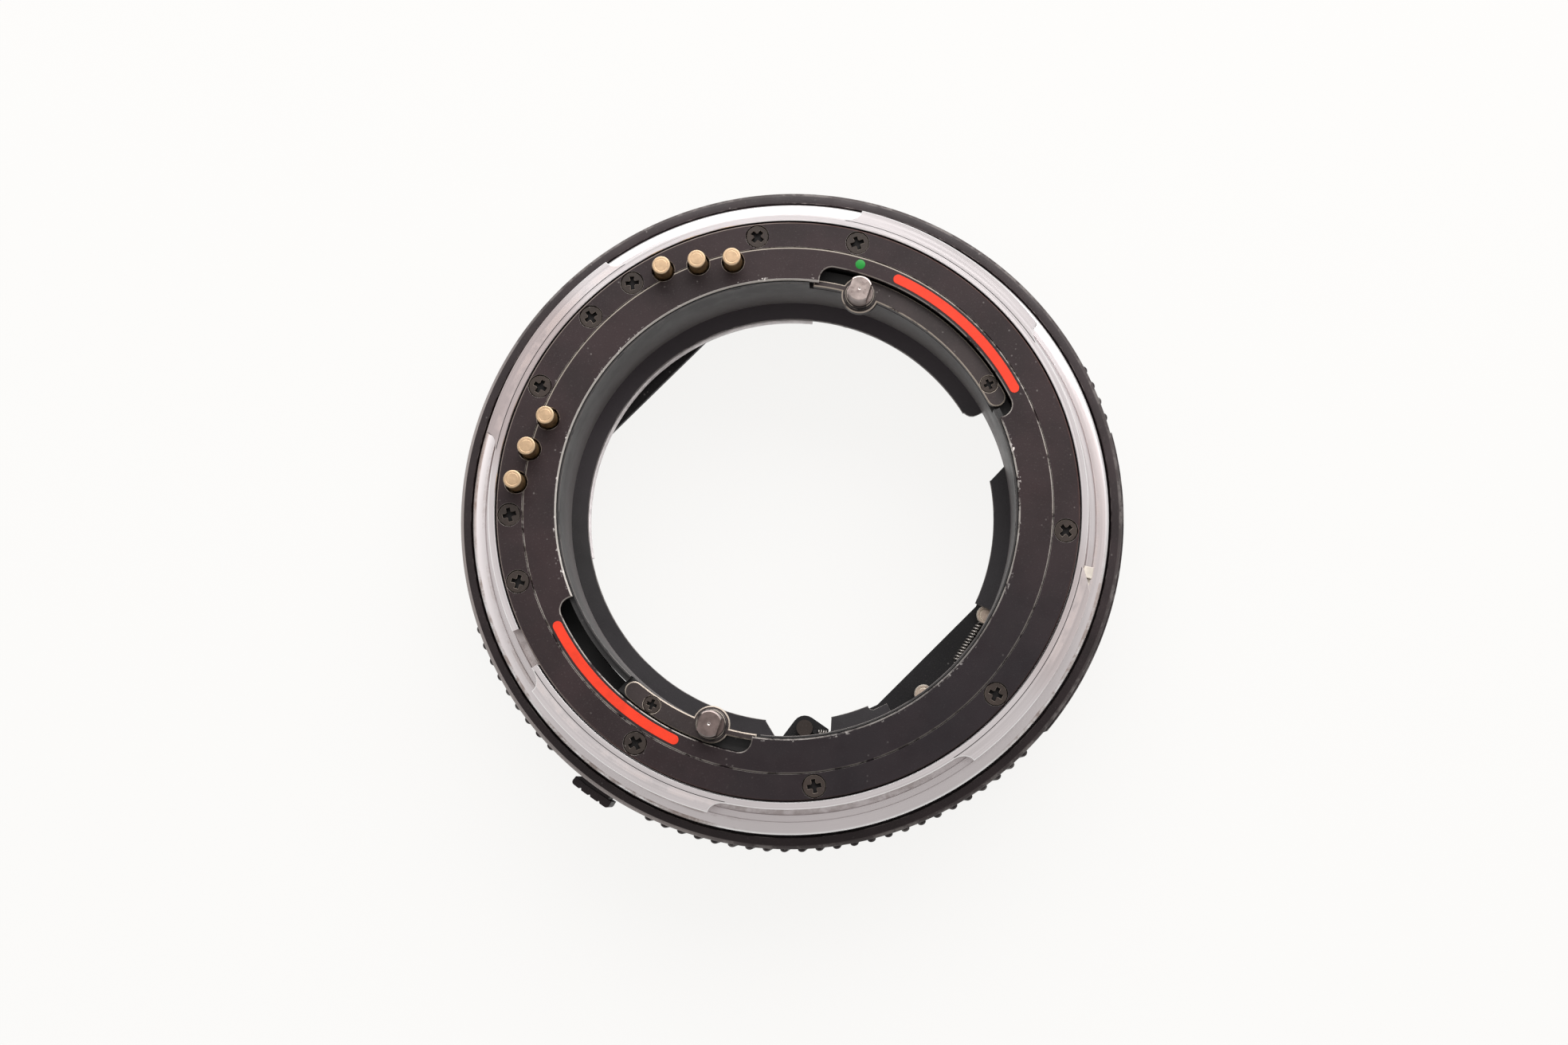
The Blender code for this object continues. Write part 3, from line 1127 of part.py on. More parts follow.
def build():
    """Makes every piece of the tube."""
    black = material("black_anodised", (0.045, 0.037, 0.038), 0.55, 0.0)
    barrel_black = material("black_barrel", (0.042, 0.038, 0.038), 0.5, 0.0)
    chrome = material("satin_chrome", (0.62, 0.60, 0.60), 0.28, 1.0)
    gold = material("gold_plate", (0.62, 0.47, 0.28), 0.3, 1.0)
    nickel = material("nickel", (0.58, 0.54, 0.50), 0.3, 1.0)
    steel = material("spring_steel", (0.42, 0.41, 0.40), 0.35, 1.0)
    brass = material("brass", (0.60, 0.52, 0.40), 0.35, 1.0)
    dark_screw = material("black_screw", (0.05, 0.045, 0.04), 0.45, 0.3)
    plastic = material("black_plastic", (0.03, 0.03, 0.03), 0.5, 0.0)
    red = material("index_red", (0.75, 0.30, 0.28), 0.4, 0.0)

    build_barrel(barrel_black)
    build_rear_bayonet(chrome)
    build_rear_plates(black)
    build_plate_screws(dark_screw)
    build_contacts(plastic, gold, steel)
    build_drive_ring(black)
    build_drive_arms(black, nickel, dark_screw)
    build_mechanism_plate(black)
    build_cover_screws(dark_screw)
    build_base_screws(steel)
    build_levers(black, brass, steel)
    build_front_bayonet(chrome)
    build_release(steel, black, steel, steel)
    build_bead(red)


for old in list(bpy.data.objects):
    bpy.data.objects.remove(old)
build()
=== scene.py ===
"""The looks of a short automatic extension tube: fine edges, fasteners, materials, light, camera."""
import math

import bmesh
import bpy
from mathutils import Matrix, Vector


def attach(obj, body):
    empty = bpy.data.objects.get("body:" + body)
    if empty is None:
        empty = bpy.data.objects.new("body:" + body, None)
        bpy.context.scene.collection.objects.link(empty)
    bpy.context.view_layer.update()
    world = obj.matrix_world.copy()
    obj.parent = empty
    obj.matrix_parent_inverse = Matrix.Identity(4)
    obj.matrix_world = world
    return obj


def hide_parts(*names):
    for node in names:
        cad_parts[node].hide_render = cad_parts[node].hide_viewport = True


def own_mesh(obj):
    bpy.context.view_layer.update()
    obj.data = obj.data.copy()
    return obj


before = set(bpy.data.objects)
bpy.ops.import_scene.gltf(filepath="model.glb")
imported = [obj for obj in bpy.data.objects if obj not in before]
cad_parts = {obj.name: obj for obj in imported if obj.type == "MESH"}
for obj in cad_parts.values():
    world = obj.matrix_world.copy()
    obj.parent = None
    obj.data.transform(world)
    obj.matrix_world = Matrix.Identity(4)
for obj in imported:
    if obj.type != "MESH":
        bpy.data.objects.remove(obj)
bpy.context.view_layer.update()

# Metres in a millimetre, straight steps in a full turn, and how far a cutter passes a face
MM = 0.001
FINE = 240
OVER = 0.1

# Heights above the floor, in millimetres
REAR = 20.5
ARM_TOP, ARM_BOTTOM = 19.51, 18.41
PLATE_BOTTOM = 18.6
BEARING_TOP, BEARING_BOTTOM = 18.11, 16.81
SEAT = 14.0
RIM_TOP = 13.4
FLANGE_BOTTOM = 11.9
RIB_TOP, RIB_BOTTOM = 12.4, 1.6
WEB_TOP, WEB_BOTTOM = 11.6, 8.0
RING_FLOOR, RING_BOTTOM = 10.0, 9.4
PAD_TOP, PAD_BOTTOM = 7.42, 7.0

# Radii from the axis, in millimetres
BARREL_R, RIM_R, BORE_R = 41.7, 41.3, 41.0
FLANGE_R = 40.0
LUG_R = 38.3
WALL_R, WALL_IN = 36.8, 35.95
SCREW_R = 34.15
JOINT_R = 32.5
MARK_R = 31.5
PLATE_R = 28.35
DRIVE_R = 28.1
RING_R, RING_OUT, RING_IN = 28.0, 28.9, 25.86

# Angles in degrees: a screw has the turn of its cross, a contact its radius, and a span its two ends
DRIVE_ANGLES = (71.4, 251.4)
SCREWS = ((75.3, 20), (96.4, 50), (124.6, 5), (135.8, 35), (153.9, 60), (181.8, 15), (195.9, 75),
          (238.0, 30), (276.0, 10), (318.0, 65), (354.9, 40))
CONTACTS = ((102.5, 31.46), (110.1, 32.43), (117.6, 33.5), (159.7, 31.5), (167.4, 32.55), (174.9, 33.5))
RED_MARKS = ((27.6, 64.2), (208.0, 244.8))
NOTCHES = ((22.7, 82.1), (203.1, 262.0))
ARM_ENDS = ((26.2, 83.5), (229.0, 263.0))
ARM_SCREWS = ((31.6, 25), (236.2, 70))
LOCK_SLOT = (204.9, 212.8)
RIB_BANDS = ((17.5, 26.5), (200.5, 224.5), (245.5, 314.5))
LUG_START, LUG_SPAN, LUG_RUN = 36.4, 39.6, 2.9


# Shapes

def polar(radius, angle):
    """The point at a radius and an angle in degrees."""
    return (radius * math.cos(math.radians(angle)), radius * math.sin(math.radians(angle)))


def arc(radius, start, end, centre=(0.0, 0.0), step=360.0 / FINE):
    """Points along an arc, both ends included."""
    count = max(1, math.ceil(abs(end - start) / step - 1e-6))
    points = []
    for i in range(count + 1):
        x, y = polar(radius, start + (end - start) * i / count)
        points.append((x + centre[0], y + centre[1]))
    return points


def sector(inner, outer, start, end):
    """The outline of a piece of a ring."""
    return arc(outer, start, end) + arc(inner, end, start)


def band(radius, half, start, end, step=20.0):
    """The outline of an arc-shaped stroke with round ends."""
    outline = arc(radius + half, start, end)
    outline += arc(half, end, end + 180.0, polar(radius, end), step)[1:]
    outline += arc(radius - half, end, start)[1:]
    outline += arc(half, start + 180.0, start + 360.0, polar(radius, start), step)[1:-1]
    return outline


def rounded_sector(inner, outer, start, end, corner, steps=8):
    """A piece of a ring whose two outer corners are rounded."""
    turn = math.degrees(corner / outer)
    first, last = [], []
    for i in range(steps + 1):
        a = math.radians(90.0 * i / steps)
        radius = outer - corner * (1 - math.sin(a))
        first.append(polar(radius, start + turn * (1 - math.cos(a))))
        last.append(polar(radius, end - turn * (1 - math.cos(a))))
    return first + arc(outer, start + turn, end - turn)[1:-1] + last[::-1] + arc(inner, end, start)


def raised(outline, *heights):
    """The same outline at each height."""
    return [[(x, y, z) for x, y in outline] for z in heights]


def counter_clockwise(outline):
    """The same outline, running counter-clockwise."""
    area = sum(a[0] * b[1] - b[0] * a[1] for a, b in zip(outline, outline[1:] + outline[:1]))
    return outline if area > 0 else outline[::-1]


def inset(outline, distance, least=0.35):
    """A counter-clockwise outline moved inwards, or outwards where the distance is negative.

    The least reach keeps a sharp corner from running out.
    """
    moved = []
    count = len(outline)
    for i in range(count):
        before, here, after = (Vector(outline[(i + k) % count]) for k in (-1, 0, 1))
        first, second = (here - before), (after - here)
        if first.length < 1e-6 or second.length < 1e-6:
            moved.append(tuple(here))
            continue
        a = Vector((-first.y, first.x)).normalized()
        b = Vector((-second.y, second.x)).normalized()
        moved.append(tuple(here + (a + b) * (distance / max(least, 1.0 + a.dot(b)))))
    return moved


def softened(profile):
    """A closed profile whose points with a third number are chamfered by that width."""
    points = []
    count = len(profile)
    for i, point in enumerate(profile):
        if len(point) < 3:
            points.append(point)
            continue
        here = Vector(point[:2])
        for other in (profile[i - 1], profile[(i + 1) % count]):
            points.append(tuple(here + (Vector(other[:2]) - here).normalized() * point[2]))
    return points


class Piece:
    """A mesh made of several closed shapes, in millimetres."""

    def __init__(self, name):
        self.name = name
        self.bm = bmesh.new()

    def rings(self, rings, caps=True, slot=0, matrix=None):
        """Bridges rings of points; caps close the two ends, or else the last joins the first."""
        made = []
        for ring in rings:
            points = [Vector(p) for p in ring]
            if matrix:
                points = [matrix @ p for p in points]
            made.append([self.bm.verts.new(p) for p in points])
        pairs = list(zip(made, made[1:]))
        if not caps:
            pairs.append((made[-1], made[0]))
        faces = []
        for low, high in pairs:
            for i in range(len(low)):
                j = (i + 1) % len(low)
                faces.append(self.bm.faces.new((low[i], low[j], high[j], high[i])))
        if caps:
            faces.append(self.bm.faces.new(list(reversed(made[0]))))
            faces.append(self.bm.faces.new(made[-1]))
        for face in faces:
            face.material_index = slot
        return self

    def lathe(self, profile):
        """A ring turned about Z from a closed profile."""
        rings = []
        for radius, height in softened(profile):
            rings.append([(*polar(radius, 360.0 * i / FINE), height) for i in range(FINE)])
        return self.rings(rings, caps=False)

    def turned(self, profile, centre=(0.0, 0.0), segments=32):
        """A solid turned about a vertical axis, listed from its lowest point up."""
        rings = []
        for radius, height in profile:
            points = [polar(radius, 360.0 * (i + 0.5) / segments) for i in range(segments)]
            rings.append([(x + centre[0], y + centre[1], height) for x, y in points])
        return self.rings(rings)

    def prism(self, outline, bottom, top, bevel=0.0, under=0.0, slot=0, matrix=None):
        """A plate of one outline, with its top and bottom edges chamfered."""
        outline = counter_clockwise(outline)
        rings = []
        if under:
            rings += raised(inset(outline, under), bottom)
        rings += raised(outline, bottom + under, top - bevel)
        if bevel:
            rings += raised(inset(outline, bevel), top)
        return self.rings(rings, slot=slot, matrix=matrix)

    def cutter(self, outline, bottom, top, flare):
        """A shape that cuts a hole with a chamfered upper rim."""
        outline = counter_clockwise(outline)
        wide = inset(outline, -flare)
        return self.rings(raised(outline, bottom, top - flare) + raised(wide, top, top + OVER))

    def wire(self, points, radius, sides=8):
        """A round wire along a path."""
        path = [Vector(p) for p in points]
        side = (path[1] - path[0]).orthogonal().normalized()
        rings = []
        for i, here in enumerate(path):
            ahead = path[min(i + 1, len(path) - 1)] - path[max(i - 1, 0)]
            ahead.normalize()
            side = (side - ahead * side.dot(ahead)).normalized()
            other = ahead.cross(side)
            rings.append([here + (side * math.cos(a) + other * math.sin(a)) * radius
                          for a in (2 * math.pi * k / sides for k in range(sides))])
        return self.rings(rings)

    def mesh(self):
        """The finished mesh, in metres."""
        bmesh.ops.recalc_face_normals(self.bm, faces=self.bm.faces)
        self.bm.transform(Matrix.Scale(MM, 4))
        mesh = bpy.data.meshes.new(self.name)
        self.bm.to_mesh(mesh)
        self.bm.free()
        return mesh


def add_object(name, data):
    """A new object in the scene."""
    obj = bpy.data.objects.new(name, data)
    bpy.context.scene.collection.objects.link(obj)
    return obj


def cut(obj, piece):
    """Takes a shape out of an object at once."""
    tool = add_object(piece.name, piece.mesh())
    modifier = obj.modifiers.new("cut", "BOOLEAN")
    modifier.operation = "DIFFERENCE"
    modifier.solver = "EXACT"
    modifier.object = tool
    depsgraph = bpy.context.evaluated_depsgraph_get()
    mesh = bpy.data.meshes.new_from_object(obj.evaluated_get(depsgraph))
    obj.modifiers.clear()
    obj.data = mesh
    bpy.data.objects.remove(tool)


def show(piece, body, looks, replaces=(), cuts=(), smooth=28.0):
    """Makes the object, cuts it, gives it its looks and sets it on its body."""
    obj = add_object(piece.name, piece.mesh())
    for tool in cuts:
        cut(obj, tool)
    obj.data.materials.clear()
    for look in looks:
        obj.data.materials.append(LOOKS[look])
    obj.data.shade_smooth()
    obj.data.set_sharp_from_angle(angle=math.radians(smooth))
    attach(obj, body)
    if replaces:
        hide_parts(*replaces)
    return obj


# Materials

class Look:
    """A Principled material and the nodes that feed it."""

    def __init__(self, name, colour, roughness, metallic=0.0, specular=0.5):
        self.material = bpy.data.materials.new(name)
        self.material.use_nodes = True
        self.nodes = self.material.node_tree.nodes
        self.links = self.material.node_tree.links
        self.shader = self.nodes["Principled BSDF"]
        self.shader.inputs["Specular IOR Level"].default_value = specular
        self.colour = colour
        self.roughness = roughness
        self.metallic = metallic
        self.bumps = []
        self.where = self.node("TexCoord").outputs["Object"]
        x, y, self.z = self.node("SeparateXYZ", {0: self.where}).outputs
        self.radius = self.math("SQRT", self.math("ADD", self.math("MULTIPLY", x, x),
                                                  self.math("MULTIPLY", y, y)))
        self.angle = self.math("ARCTAN2", y, x)

    def node(self, kind, inputs=None):
        """A new shader node, with inputs fed by name or number."""
        node = self.nodes.new("ShaderNode" + kind)
        for key, value in (inputs or {}).items():
            self.feed(node.inputs[key], value)
        return node

    def feed(self, socket, value):
        """Gives a socket a number, a colour or a link."""
        if isinstance(value, (int, float)):
            socket.default_value = value
        elif isinstance(value, (tuple, list)):
            socket.default_value = (*value, 1.0)
        else:
            self.links.new(value, socket)

    def math(self, operation, a, b=0.0):
        """A maths node of one or two values."""
        node = self.node("Math", {0: a, 1: b})
        node.operation = operation
        return node.outputs[0]

    def both(self, a, b):
        """Where two masks overlap."""
        return self.math("MULTIPLY", a, b)

    def either(self, a, b):
        """Where at least one of two masks lies."""
        return self.math("MAXIMUM", a, b)

    def ramp(self, value, low, high, start=0.0, end=1.0):
        """A smooth step of a value from start to end."""
        node = self.node("MapRange", {"Value": value, "From Min": low, "From Max": high,
                                      "To Min": start, "To Max": end})
        node.interpolation_type = "SMOOTHSTEP"
        return node.outputs[0]

    def fall(self, value, low, high):
        """One below a range of a value and nought above it."""
        return self.ramp(value, low, high, 1.0, 0.0)

    def between(self, value, low, high, soft):
        """One inside a range of a value and nought outside it."""
        rise = self.ramp(value, low - soft, low + soft)
        return self.both(rise, self.fall(value, high - soft, high + soft))

    def above(self, low, high):
        """A rise from nought to one between two heights in millimetres."""
        return self.ramp(self.z, low * MM, high * MM)

    def below(self, low, high):
        """A fall from one to nought between two heights in millimetres."""
        return self.fall(self.z, low * MM, high * MM)

    def noise(self, per_metre, detail=3.0, rough=0.55, vector=None):
        """An uneven cloud, with so many lumps to the metre."""
        node = self.node("TexNoise", {"Vector": vector or self.where, "Scale": per_metre,
                                      "Detail": detail, "Roughness": rough})
        return node.outputs["Fac"]

    def specks(self, per_metre, size):
        """Small round specks, one in each cell, in some patches only."""
        node = self.node("TexVoronoi", {"Vector": self.where, "Scale": per_metre})
        some = self.ramp(self.noise(per_metre * 0.37, 1.0), 0.52, 0.62)
        return self.both(self.fall(node.outputs["Distance"], size * 0.5, size), some)

    def turned(self, across, along=6.0):
        """Marks that run round the axis, as a lathe leaves them."""
        point = self.node("CombineXYZ", {
            0: self.math("MULTIPLY", self.radius, across),
            1: self.math("MULTIPLY", self.angle, along),
            2: self.math("MULTIPLY", self.z, across)})
        return self.noise(1.0, 2.0, 0.6, point.outputs[0])

    def level(self):
        """One where a face lies flat and nought where it stands upright."""
        normal = self.node("NewGeometry").outputs["True Normal"]
        upward = self.node("SeparateXYZ", {0: normal}).outputs[2]
        return self.math("MULTIPLY", upward, upward)

    def edge(self):
        """One on chamfers and nought on flat and upright faces."""
        square = self.level()
        lean = self.math("MULTIPLY", square, self.math("SUBTRACT", 1.0, square))
        return self.ramp(lean, 0.08, 0.2)

    def ring(self, low, high, soft=0.02):
        """One between two radii in millimetres."""
        return self.between(self.radius, low * MM, high * MM, soft * MM)

    def around(self, start, end, soft=8.0):
        """One between two angles in degrees about the axis."""
        half = (end - start) / 2
        away = self.math("COSINE", self.math("SUBTRACT", self.angle, math.radians((start + end) / 2)))
        return self.ramp(away, math.cos(math.radians(min(180.0, half + soft))),
                         math.cos(math.radians(max(0.0, half - soft))))

    def blend(self, mask, a, b):
        """One number where the mask is nought and the other where it is one."""
        return self.node("Mix", {0: mask, 2: a, 3: b}).outputs[0]

    def paint(self, mask, colour, strength=1.0, metallic=None, roughness=None):
        """Lays a colour over the material where the mask says."""
        if strength != 1.0:
            mask = self.math("MULTIPLY", mask, strength)
        node = self.node("Mix")
        node.data_type = "RGBA"
        for key, value in ((0, mask), (6, self.colour), (7, colour)):
            self.feed(node.inputs[key], value)
        self.colour = node.outputs[2]
        if metallic is not None:
            self.metallic = self.blend(mask, self.metallic, metallic)
        if roughness is not None:
            self.roughness = self.blend(mask, self.roughness, roughness)

    def shade(self, value, low, high):
        """Darkens and lightens the colour by a value."""
        node = self.node("HueSaturation", {"Value": self.ramp(value, 0.3, 0.7, low, high),
                                           "Color": self.colour})
        self.colour = node.outputs[0]

    def bump(self, height, depth):
        """Adds a relief of a depth in metres."""
        self.bumps.append((height, depth))

    def done(self):
        """Links what was laid down to the shader."""
        for key, value in (("Base Color", self.colour), ("Roughness", self.roughness),
                           ("Metallic", self.metallic)):
            self.feed(self.shader.inputs[key], value)
        normal = None
        for height, depth in self.bumps:
            node = self.node("Bump", {"Strength": 1.0, "Distance": depth, "Height": height})
            if normal:
                self.links.new(normal, node.inputs["Normal"])
            normal = node.outputs[0]
        if normal:
            self.links.new(normal, self.shader.inputs["Normal"])
        return self.material


def black_look(name, colour, roughness, worn, chip=(0.42, 0.38, 0.35), specular=0.32, dust=0.35):
    """Black anodised or painted metal with dust, grain and worn edges."""
    look = Look(name, colour, roughness, 0.0, specular)
    look.shade(look.noise(160.0, 4.0), 0.78, 1.25)
    look.paint(look.ramp(look.noise(5200.0, 2.0), 0.60, 0.74), (0.12, 0.105, 0.10), 0.45 * dust)
    look.paint(look.specks(900.0, 0.14), (0.40, 0.37, 0.35), 0.5 * dust)
    rub = look.ramp(look.noise(420.0, 5.0, 0.7), 0.62 - 0.3 * worn, 0.76 - 0.3 * worn)
    look.paint(look.both(look.edge(), rub), chip, 0.85, metallic=0.6, roughness=0.4)
    look.roughness = look.ramp(look.noise(240.0), 0.3, 0.7, roughness - 0.07, roughness + 0.08)
    look.bump(look.noise(6000.0, 2.0), 0.000008)
    return look


def chrome_look(name, colour, roughness=0.30):
    """Satin chrome with fine turning marks and painted highlights on its edges."""
    look = Look(name, colour, roughness, 1.0)
    marks = look.turned(5200.0, 1.2)
    look.shade(marks, 0.985, 1.01)
    look.shade(look.noise(70.0), 0.97, 1.02)
    # Painted highlight: near white laid on every chamfer.
    look.paint(look.edge(), (0.93, 0.92, 0.92), 0.85)
    spots = look.ramp(look.noise(1300.0, 4.0, 0.7), 0.68, 0.76)
    look.paint(spots, (0.42, 0.37, 0.36), 0.2)
    look.roughness = look.ramp(marks, 0.25, 0.75, roughness - 0.03, roughness + 0.05)
    look.bump(marks, 0.0000005)
    return look


def mottled_look(name, colour, roughness, metallic, grain, low, high, specular=0.5):
    """A plain material whose colour varies a little with a fine grain."""
    look = Look(name, colour, roughness, metallic, specular)
    look.shade(look.noise(grain), low, high)
    return look.done()


def grime(look, low, high, strength, sides, colour):
    """Brown dirt that gathers between two radii, along some sides."""
    patch = look.ramp(look.noise(300.0, 5.0, 0.75), 0.38, 0.60)
    where = look.around(*sides[0])
    for side in sides[1:]:
        where = look.either(where, look.around(*side))
    mask = look.both(look.both(look.ring(low, high, 0.05), patch), where)
    look.paint(mask, colour, strength, metallic=0.2, roughness=0.6)


def make_plate_look():
    """The black of the two rear plates, with worn bare lines along their edges, brighter on the lit upper
    side as painted highlights, and painted shade at the lower right.
    """
    look = black_look("black_plate", (0.0165, 0.0082, 0.0090), 0.52, 0.75, specular=0.27)
    shallow = look.above(REAR - 0.45, REAR - 0.35)
    broken = look.ramp(look.noise(520.0, 4.0, 0.6), 0.46, 0.54)
    joint = look.both(look.ring(JOINT_R - 0.15, JOINT_R + 0.05, 0.01), shallow)
    # Worn bare line along the joint, at full strength from 52 to 168 degrees as a painted highlight and
    # broken elsewhere.
    whole = look.either(look.around(52.0, 168.0, 14.0), look.both(broken, 0.34))
    look.paint(look.both(joint, whole), (0.27, 0.235, 0.20), 0.95, metallic=0.2, roughness=0.45)
    rim = look.both(look.ring(PLATE_R - 0.05, PLATE_R + 0.20, 0.01), shallow)
    # Worn bare line along the inner edge, at full strength from 68 to 206 degrees as a painted highlight.
    whole = look.either(look.around(68.0, 206.0), look.both(broken, 0.75))
    look.paint(look.both(rim, whole), (0.46, 0.43, 0.40), 0.85, metallic=0.4, roughness=0.4)
    flakes = look.both(look.ramp(look.noise(1900.0, 3.0, 0.7), 0.55, 0.62),
                       look.ramp(look.noise(330.0, 3.0, 0.6), 0.50, 0.58))
    flakes = look.both(flakes, look.ring(PLATE_R, PLATE_R + 0.42, 0.08))
    look.paint(flakes, (0.66, 0.61, 0.58), 0.9, metallic=0.3)
    outer = look.both(look.ring(WALL_IN - 0.36, WALL_IN - 0.20, 0.01), shallow)
    look.paint(outer, (0.045, 0.019, 0.016), 0.95, metallic=0.0, roughness=0.6)
    # Painted highlight: the outer chamfer lighter from 92 to 225 degrees.
    look.paint(look.both(outer, look.around(92.0, 225.0, 12.0)), (0.17, 0.14, 0.125), 0.85)
    # Painted shade: the plates darker at the lower right.
    lower = look.around(265.0, 335.0, 30.0)
    look.paint(lower, (0.0035, 0.0022, 0.0045), 0.65)
    return look.done()


def make_bayonet_look():
    """The rear bayonet's chrome, with painted shade on some lugs and seats, black where it faces the light
    path.
    """
    look = chrome_look("satin_chrome", (0.735, 0.685, 0.69))
    lugs = look.ring(WALL_IN, LUG_R + 0.15, 0.05)
    # Painted shade: the lugs darker from 137 to 170 degrees.
    look.paint(look.both(lugs, look.around(137.0, 170.0, 6.0)), (0.49, 0.415, 0.41), 0.9)
    # Painted shade: the outer seat and the last lug darker on the right.
    shaded_right_seat = look.both(look.ring(LUG_R, 39.5, 0.05), look.around(-8.0, 22.0, 10.0))
    shaded_right_lug = look.both(lugs, look.around(326.0, 350.0, 6.0))
    look.paint(look.either(shaded_right_seat, shaded_right_lug), (0.62, 0.545, 0.54), 0.8)
    left_seat = look.both(look.ring(39.5, 40.3, 0.05), look.around(150.0, 182.0, 10.0))
    look.paint(left_seat, (0.42, 0.33, 0.30), 0.75)
    grime(look, 39.55, 40.3, 0.75, ((150.0, 260.0), (-45.0, -10.0)), (0.20, 0.13, 0.10))
    grime(look, LUG_R, 38.75, 0.35, ((160.0, 260.0), (-30.0, 5.0)), (0.25, 0.18, 0.15))
    grime(look, WALL_R - 0.05, 37.5, 0.35, ((100.0, 300.0), (-30.0, 30.0)), (0.30, 0.23, 0.20))
    slot = look.both(look.around(*LOCK_SLOT, 0.4), look.ring(WALL_IN - 0.2, WALL_R + 0.1))
    slot = look.both(slot, look.below(REAR - 0.6, REAR - 0.4))
    look.paint(slot, (0.56, 0.50, 0.49), 0.9, metallic=0.6, roughness=0.5)
    stain = look.both(slot, look.ramp(look.noise(520.0, 3.0, 0.6), 0.46, 0.66))
    look.paint(stain, (0.24, 0.19, 0.18), 0.5)
    inside = look.both(look.fall(look.radius, (WALL_IN - 0.08) * MM, (WALL_IN - 0.04) * MM),
                       look.below(REAR - 0.5, REAR - 0.4))
    look.paint(inside, (0.006, 0.005, 0.005), 1.0, metallic=0.0, roughness=0.7)
    return look.done()


def make_ring_look():
    """The drive ring's black, with painted light low on its wall and on the floor's upper part, and painted
    shade on the floor's lower part.
    """
    look = black_look("drive_ring", (0.0175, 0.0158, 0.0158), 0.50, 0.8, (0.20, 0.18, 0.17), 0.45)
    # Painted light: the upright faces paler towards the floor.
    painted_light_deep = look.ramp(look.z, (RING_FLOOR - 0.2) * MM, (REAR - 1.5) * MM, 1.0, 0.1)
    look.paint(look.both(look.fall(look.level(), 0.1, 0.4), painted_light_deep), (0.172, 0.158, 0.156), 0.85)
    # Painted light on the floor from 30 to 170 degrees, painted shade from 200 to 380 degrees.
    floor = look.both(look.ramp(look.level(), 0.6, 0.9), look.below(RING_FLOOR + 0.1, RING_FLOOR + 0.3))
    look.paint(look.both(floor, look.around(30.0, 170.0, 25.0)), (0.042, 0.033, 0.038), 0.9)
    look.paint(look.both(floor, look.around(200.0, 380.0, 20.0)), (0.010, 0.0075, 0.0095), 0.9)
    look.bump(look.turned(9000.0), 0.000003)
    return look.done()


def make_barrel_look():
    """The barrel's black, with a painted highlight on its rim, strongest at the lower left."""
    look = black_look("barrel_black", (0.0165, 0.0100, 0.0108), 0.50, 0.5, (0.14, 0.125, 0.12),
                      specular=0.27)
    # Painted highlight: a light line on the rim's outer edge, strongest from 152 to 255 degrees.
    rim = look.both(look.ramp(look.radius, (RIM_R - 0.08) * MM, (RIM_R - 0.02) * MM),
                    look.above(RIM_TOP - 0.55, RIM_TOP - 0.4))
    rim = look.both(rim, look.either(look.around(152.0, 255.0, 14.0), 0.10))
    look.paint(rim, (0.30, 0.265, 0.255), 0.85, metallic=0.3, roughness=0.4)
    look.bump(look.turned(7000.0), 0.000004)
    return look.done()


def make_gold_look():
    """The contacts' worn gold, browner on their sides, with painted highlights on their chamfers."""
    look = Look("gold_plate", (0.455, 0.315, 0.195), 0.5, 0.8)
    look.shade(look.noise(1400.0, 4.0), 0.88, 1.08)
    sides = look.fall(look.level(), 0.1, 0.5)
    look.paint(sides, (0.33, 0.20, 0.085), 0.9, roughness=0.4)
    tarnish = look.both(sides, look.ramp(look.noise(900.0), 0.5, 0.65))
    look.paint(tarnish, (0.10, 0.055, 0.02), 0.6)
    # Painted highlight: paler gold on the chamfers.
    look.paint(look.edge(), (0.54, 0.42, 0.28), 0.7)
    look.paint(look.ramp(look.noise(2600.0, 3.0, 0.7), 0.60, 0.72), (0.34, 0.23, 0.13), 0.4)
    look.bump(look.noise(4000.0), 0.000008)
    return look.done()


def make_nickel_look():
    """The drive pins' dull nickel, with painted shade on the lower pin and on the pins' sides, painted
    highlights on their chamfers, and their black collars.
    """
    look = Look("nickel", (0.34, 0.28, 0.26), 0.42, 0.9)
    # Painted shade: the lower pin darker.
    shaded_lower_pin = look.around(240.0, 262.0, 4.0)
    look.paint(shaded_lower_pin, (0.15, 0.110, 0.102), 0.85)
    # Painted shade: the upright sides darker.
    look.paint(look.fall(look.level(), 0.1, 0.5), (0.20, 0.155, 0.14), 0.8)
    look.shade(look.noise(900.0, 4.0), 0.75, 1.2)
    look.paint(look.ramp(look.noise(1500.0, 4.0, 0.7), 0.50, 0.64), (0.17, 0.13, 0.12), 0.6)
    # Painted highlight: paler nickel on the chamfers.
    look.paint(look.edge(), (0.66, 0.61, 0.59), 0.6)
    collar = look.below(ARM_TOP + 0.72, ARM_TOP + 0.80)
    collar = look.both(collar, look.above(SEAT + 1.0, REAR - 1.5))
    look.paint(collar, (0.022, 0.015, 0.013), 1.0, metallic=0.0, roughness=0.5)
    worn = look.both(look.edge(), look.ramp(look.noise(420.0), 0.42, 0.50))
    look.paint(look.both(collar, worn), (0.42, 0.36, 0.31), 0.9, metallic=0.5)
    look.bump(look.noise(2600.0), 0.000012)
    return look.done()


def make_brass_look():
    """The pale brass of the studs, with painted highlights on their chamfers."""
    look = Look("pale_brass", (0.58, 0.465, 0.38), 0.36, 0.95)
    look.shade(look.noise(1200.0, 4.0), 0.8, 1.15)
    # Painted highlight: pale brass on the chamfers.
    look.paint(look.edge(), (0.85, 0.80, 0.70), 0.7)
    look.bump(look.noise(3500.0), 0.000006)
    return look.done()


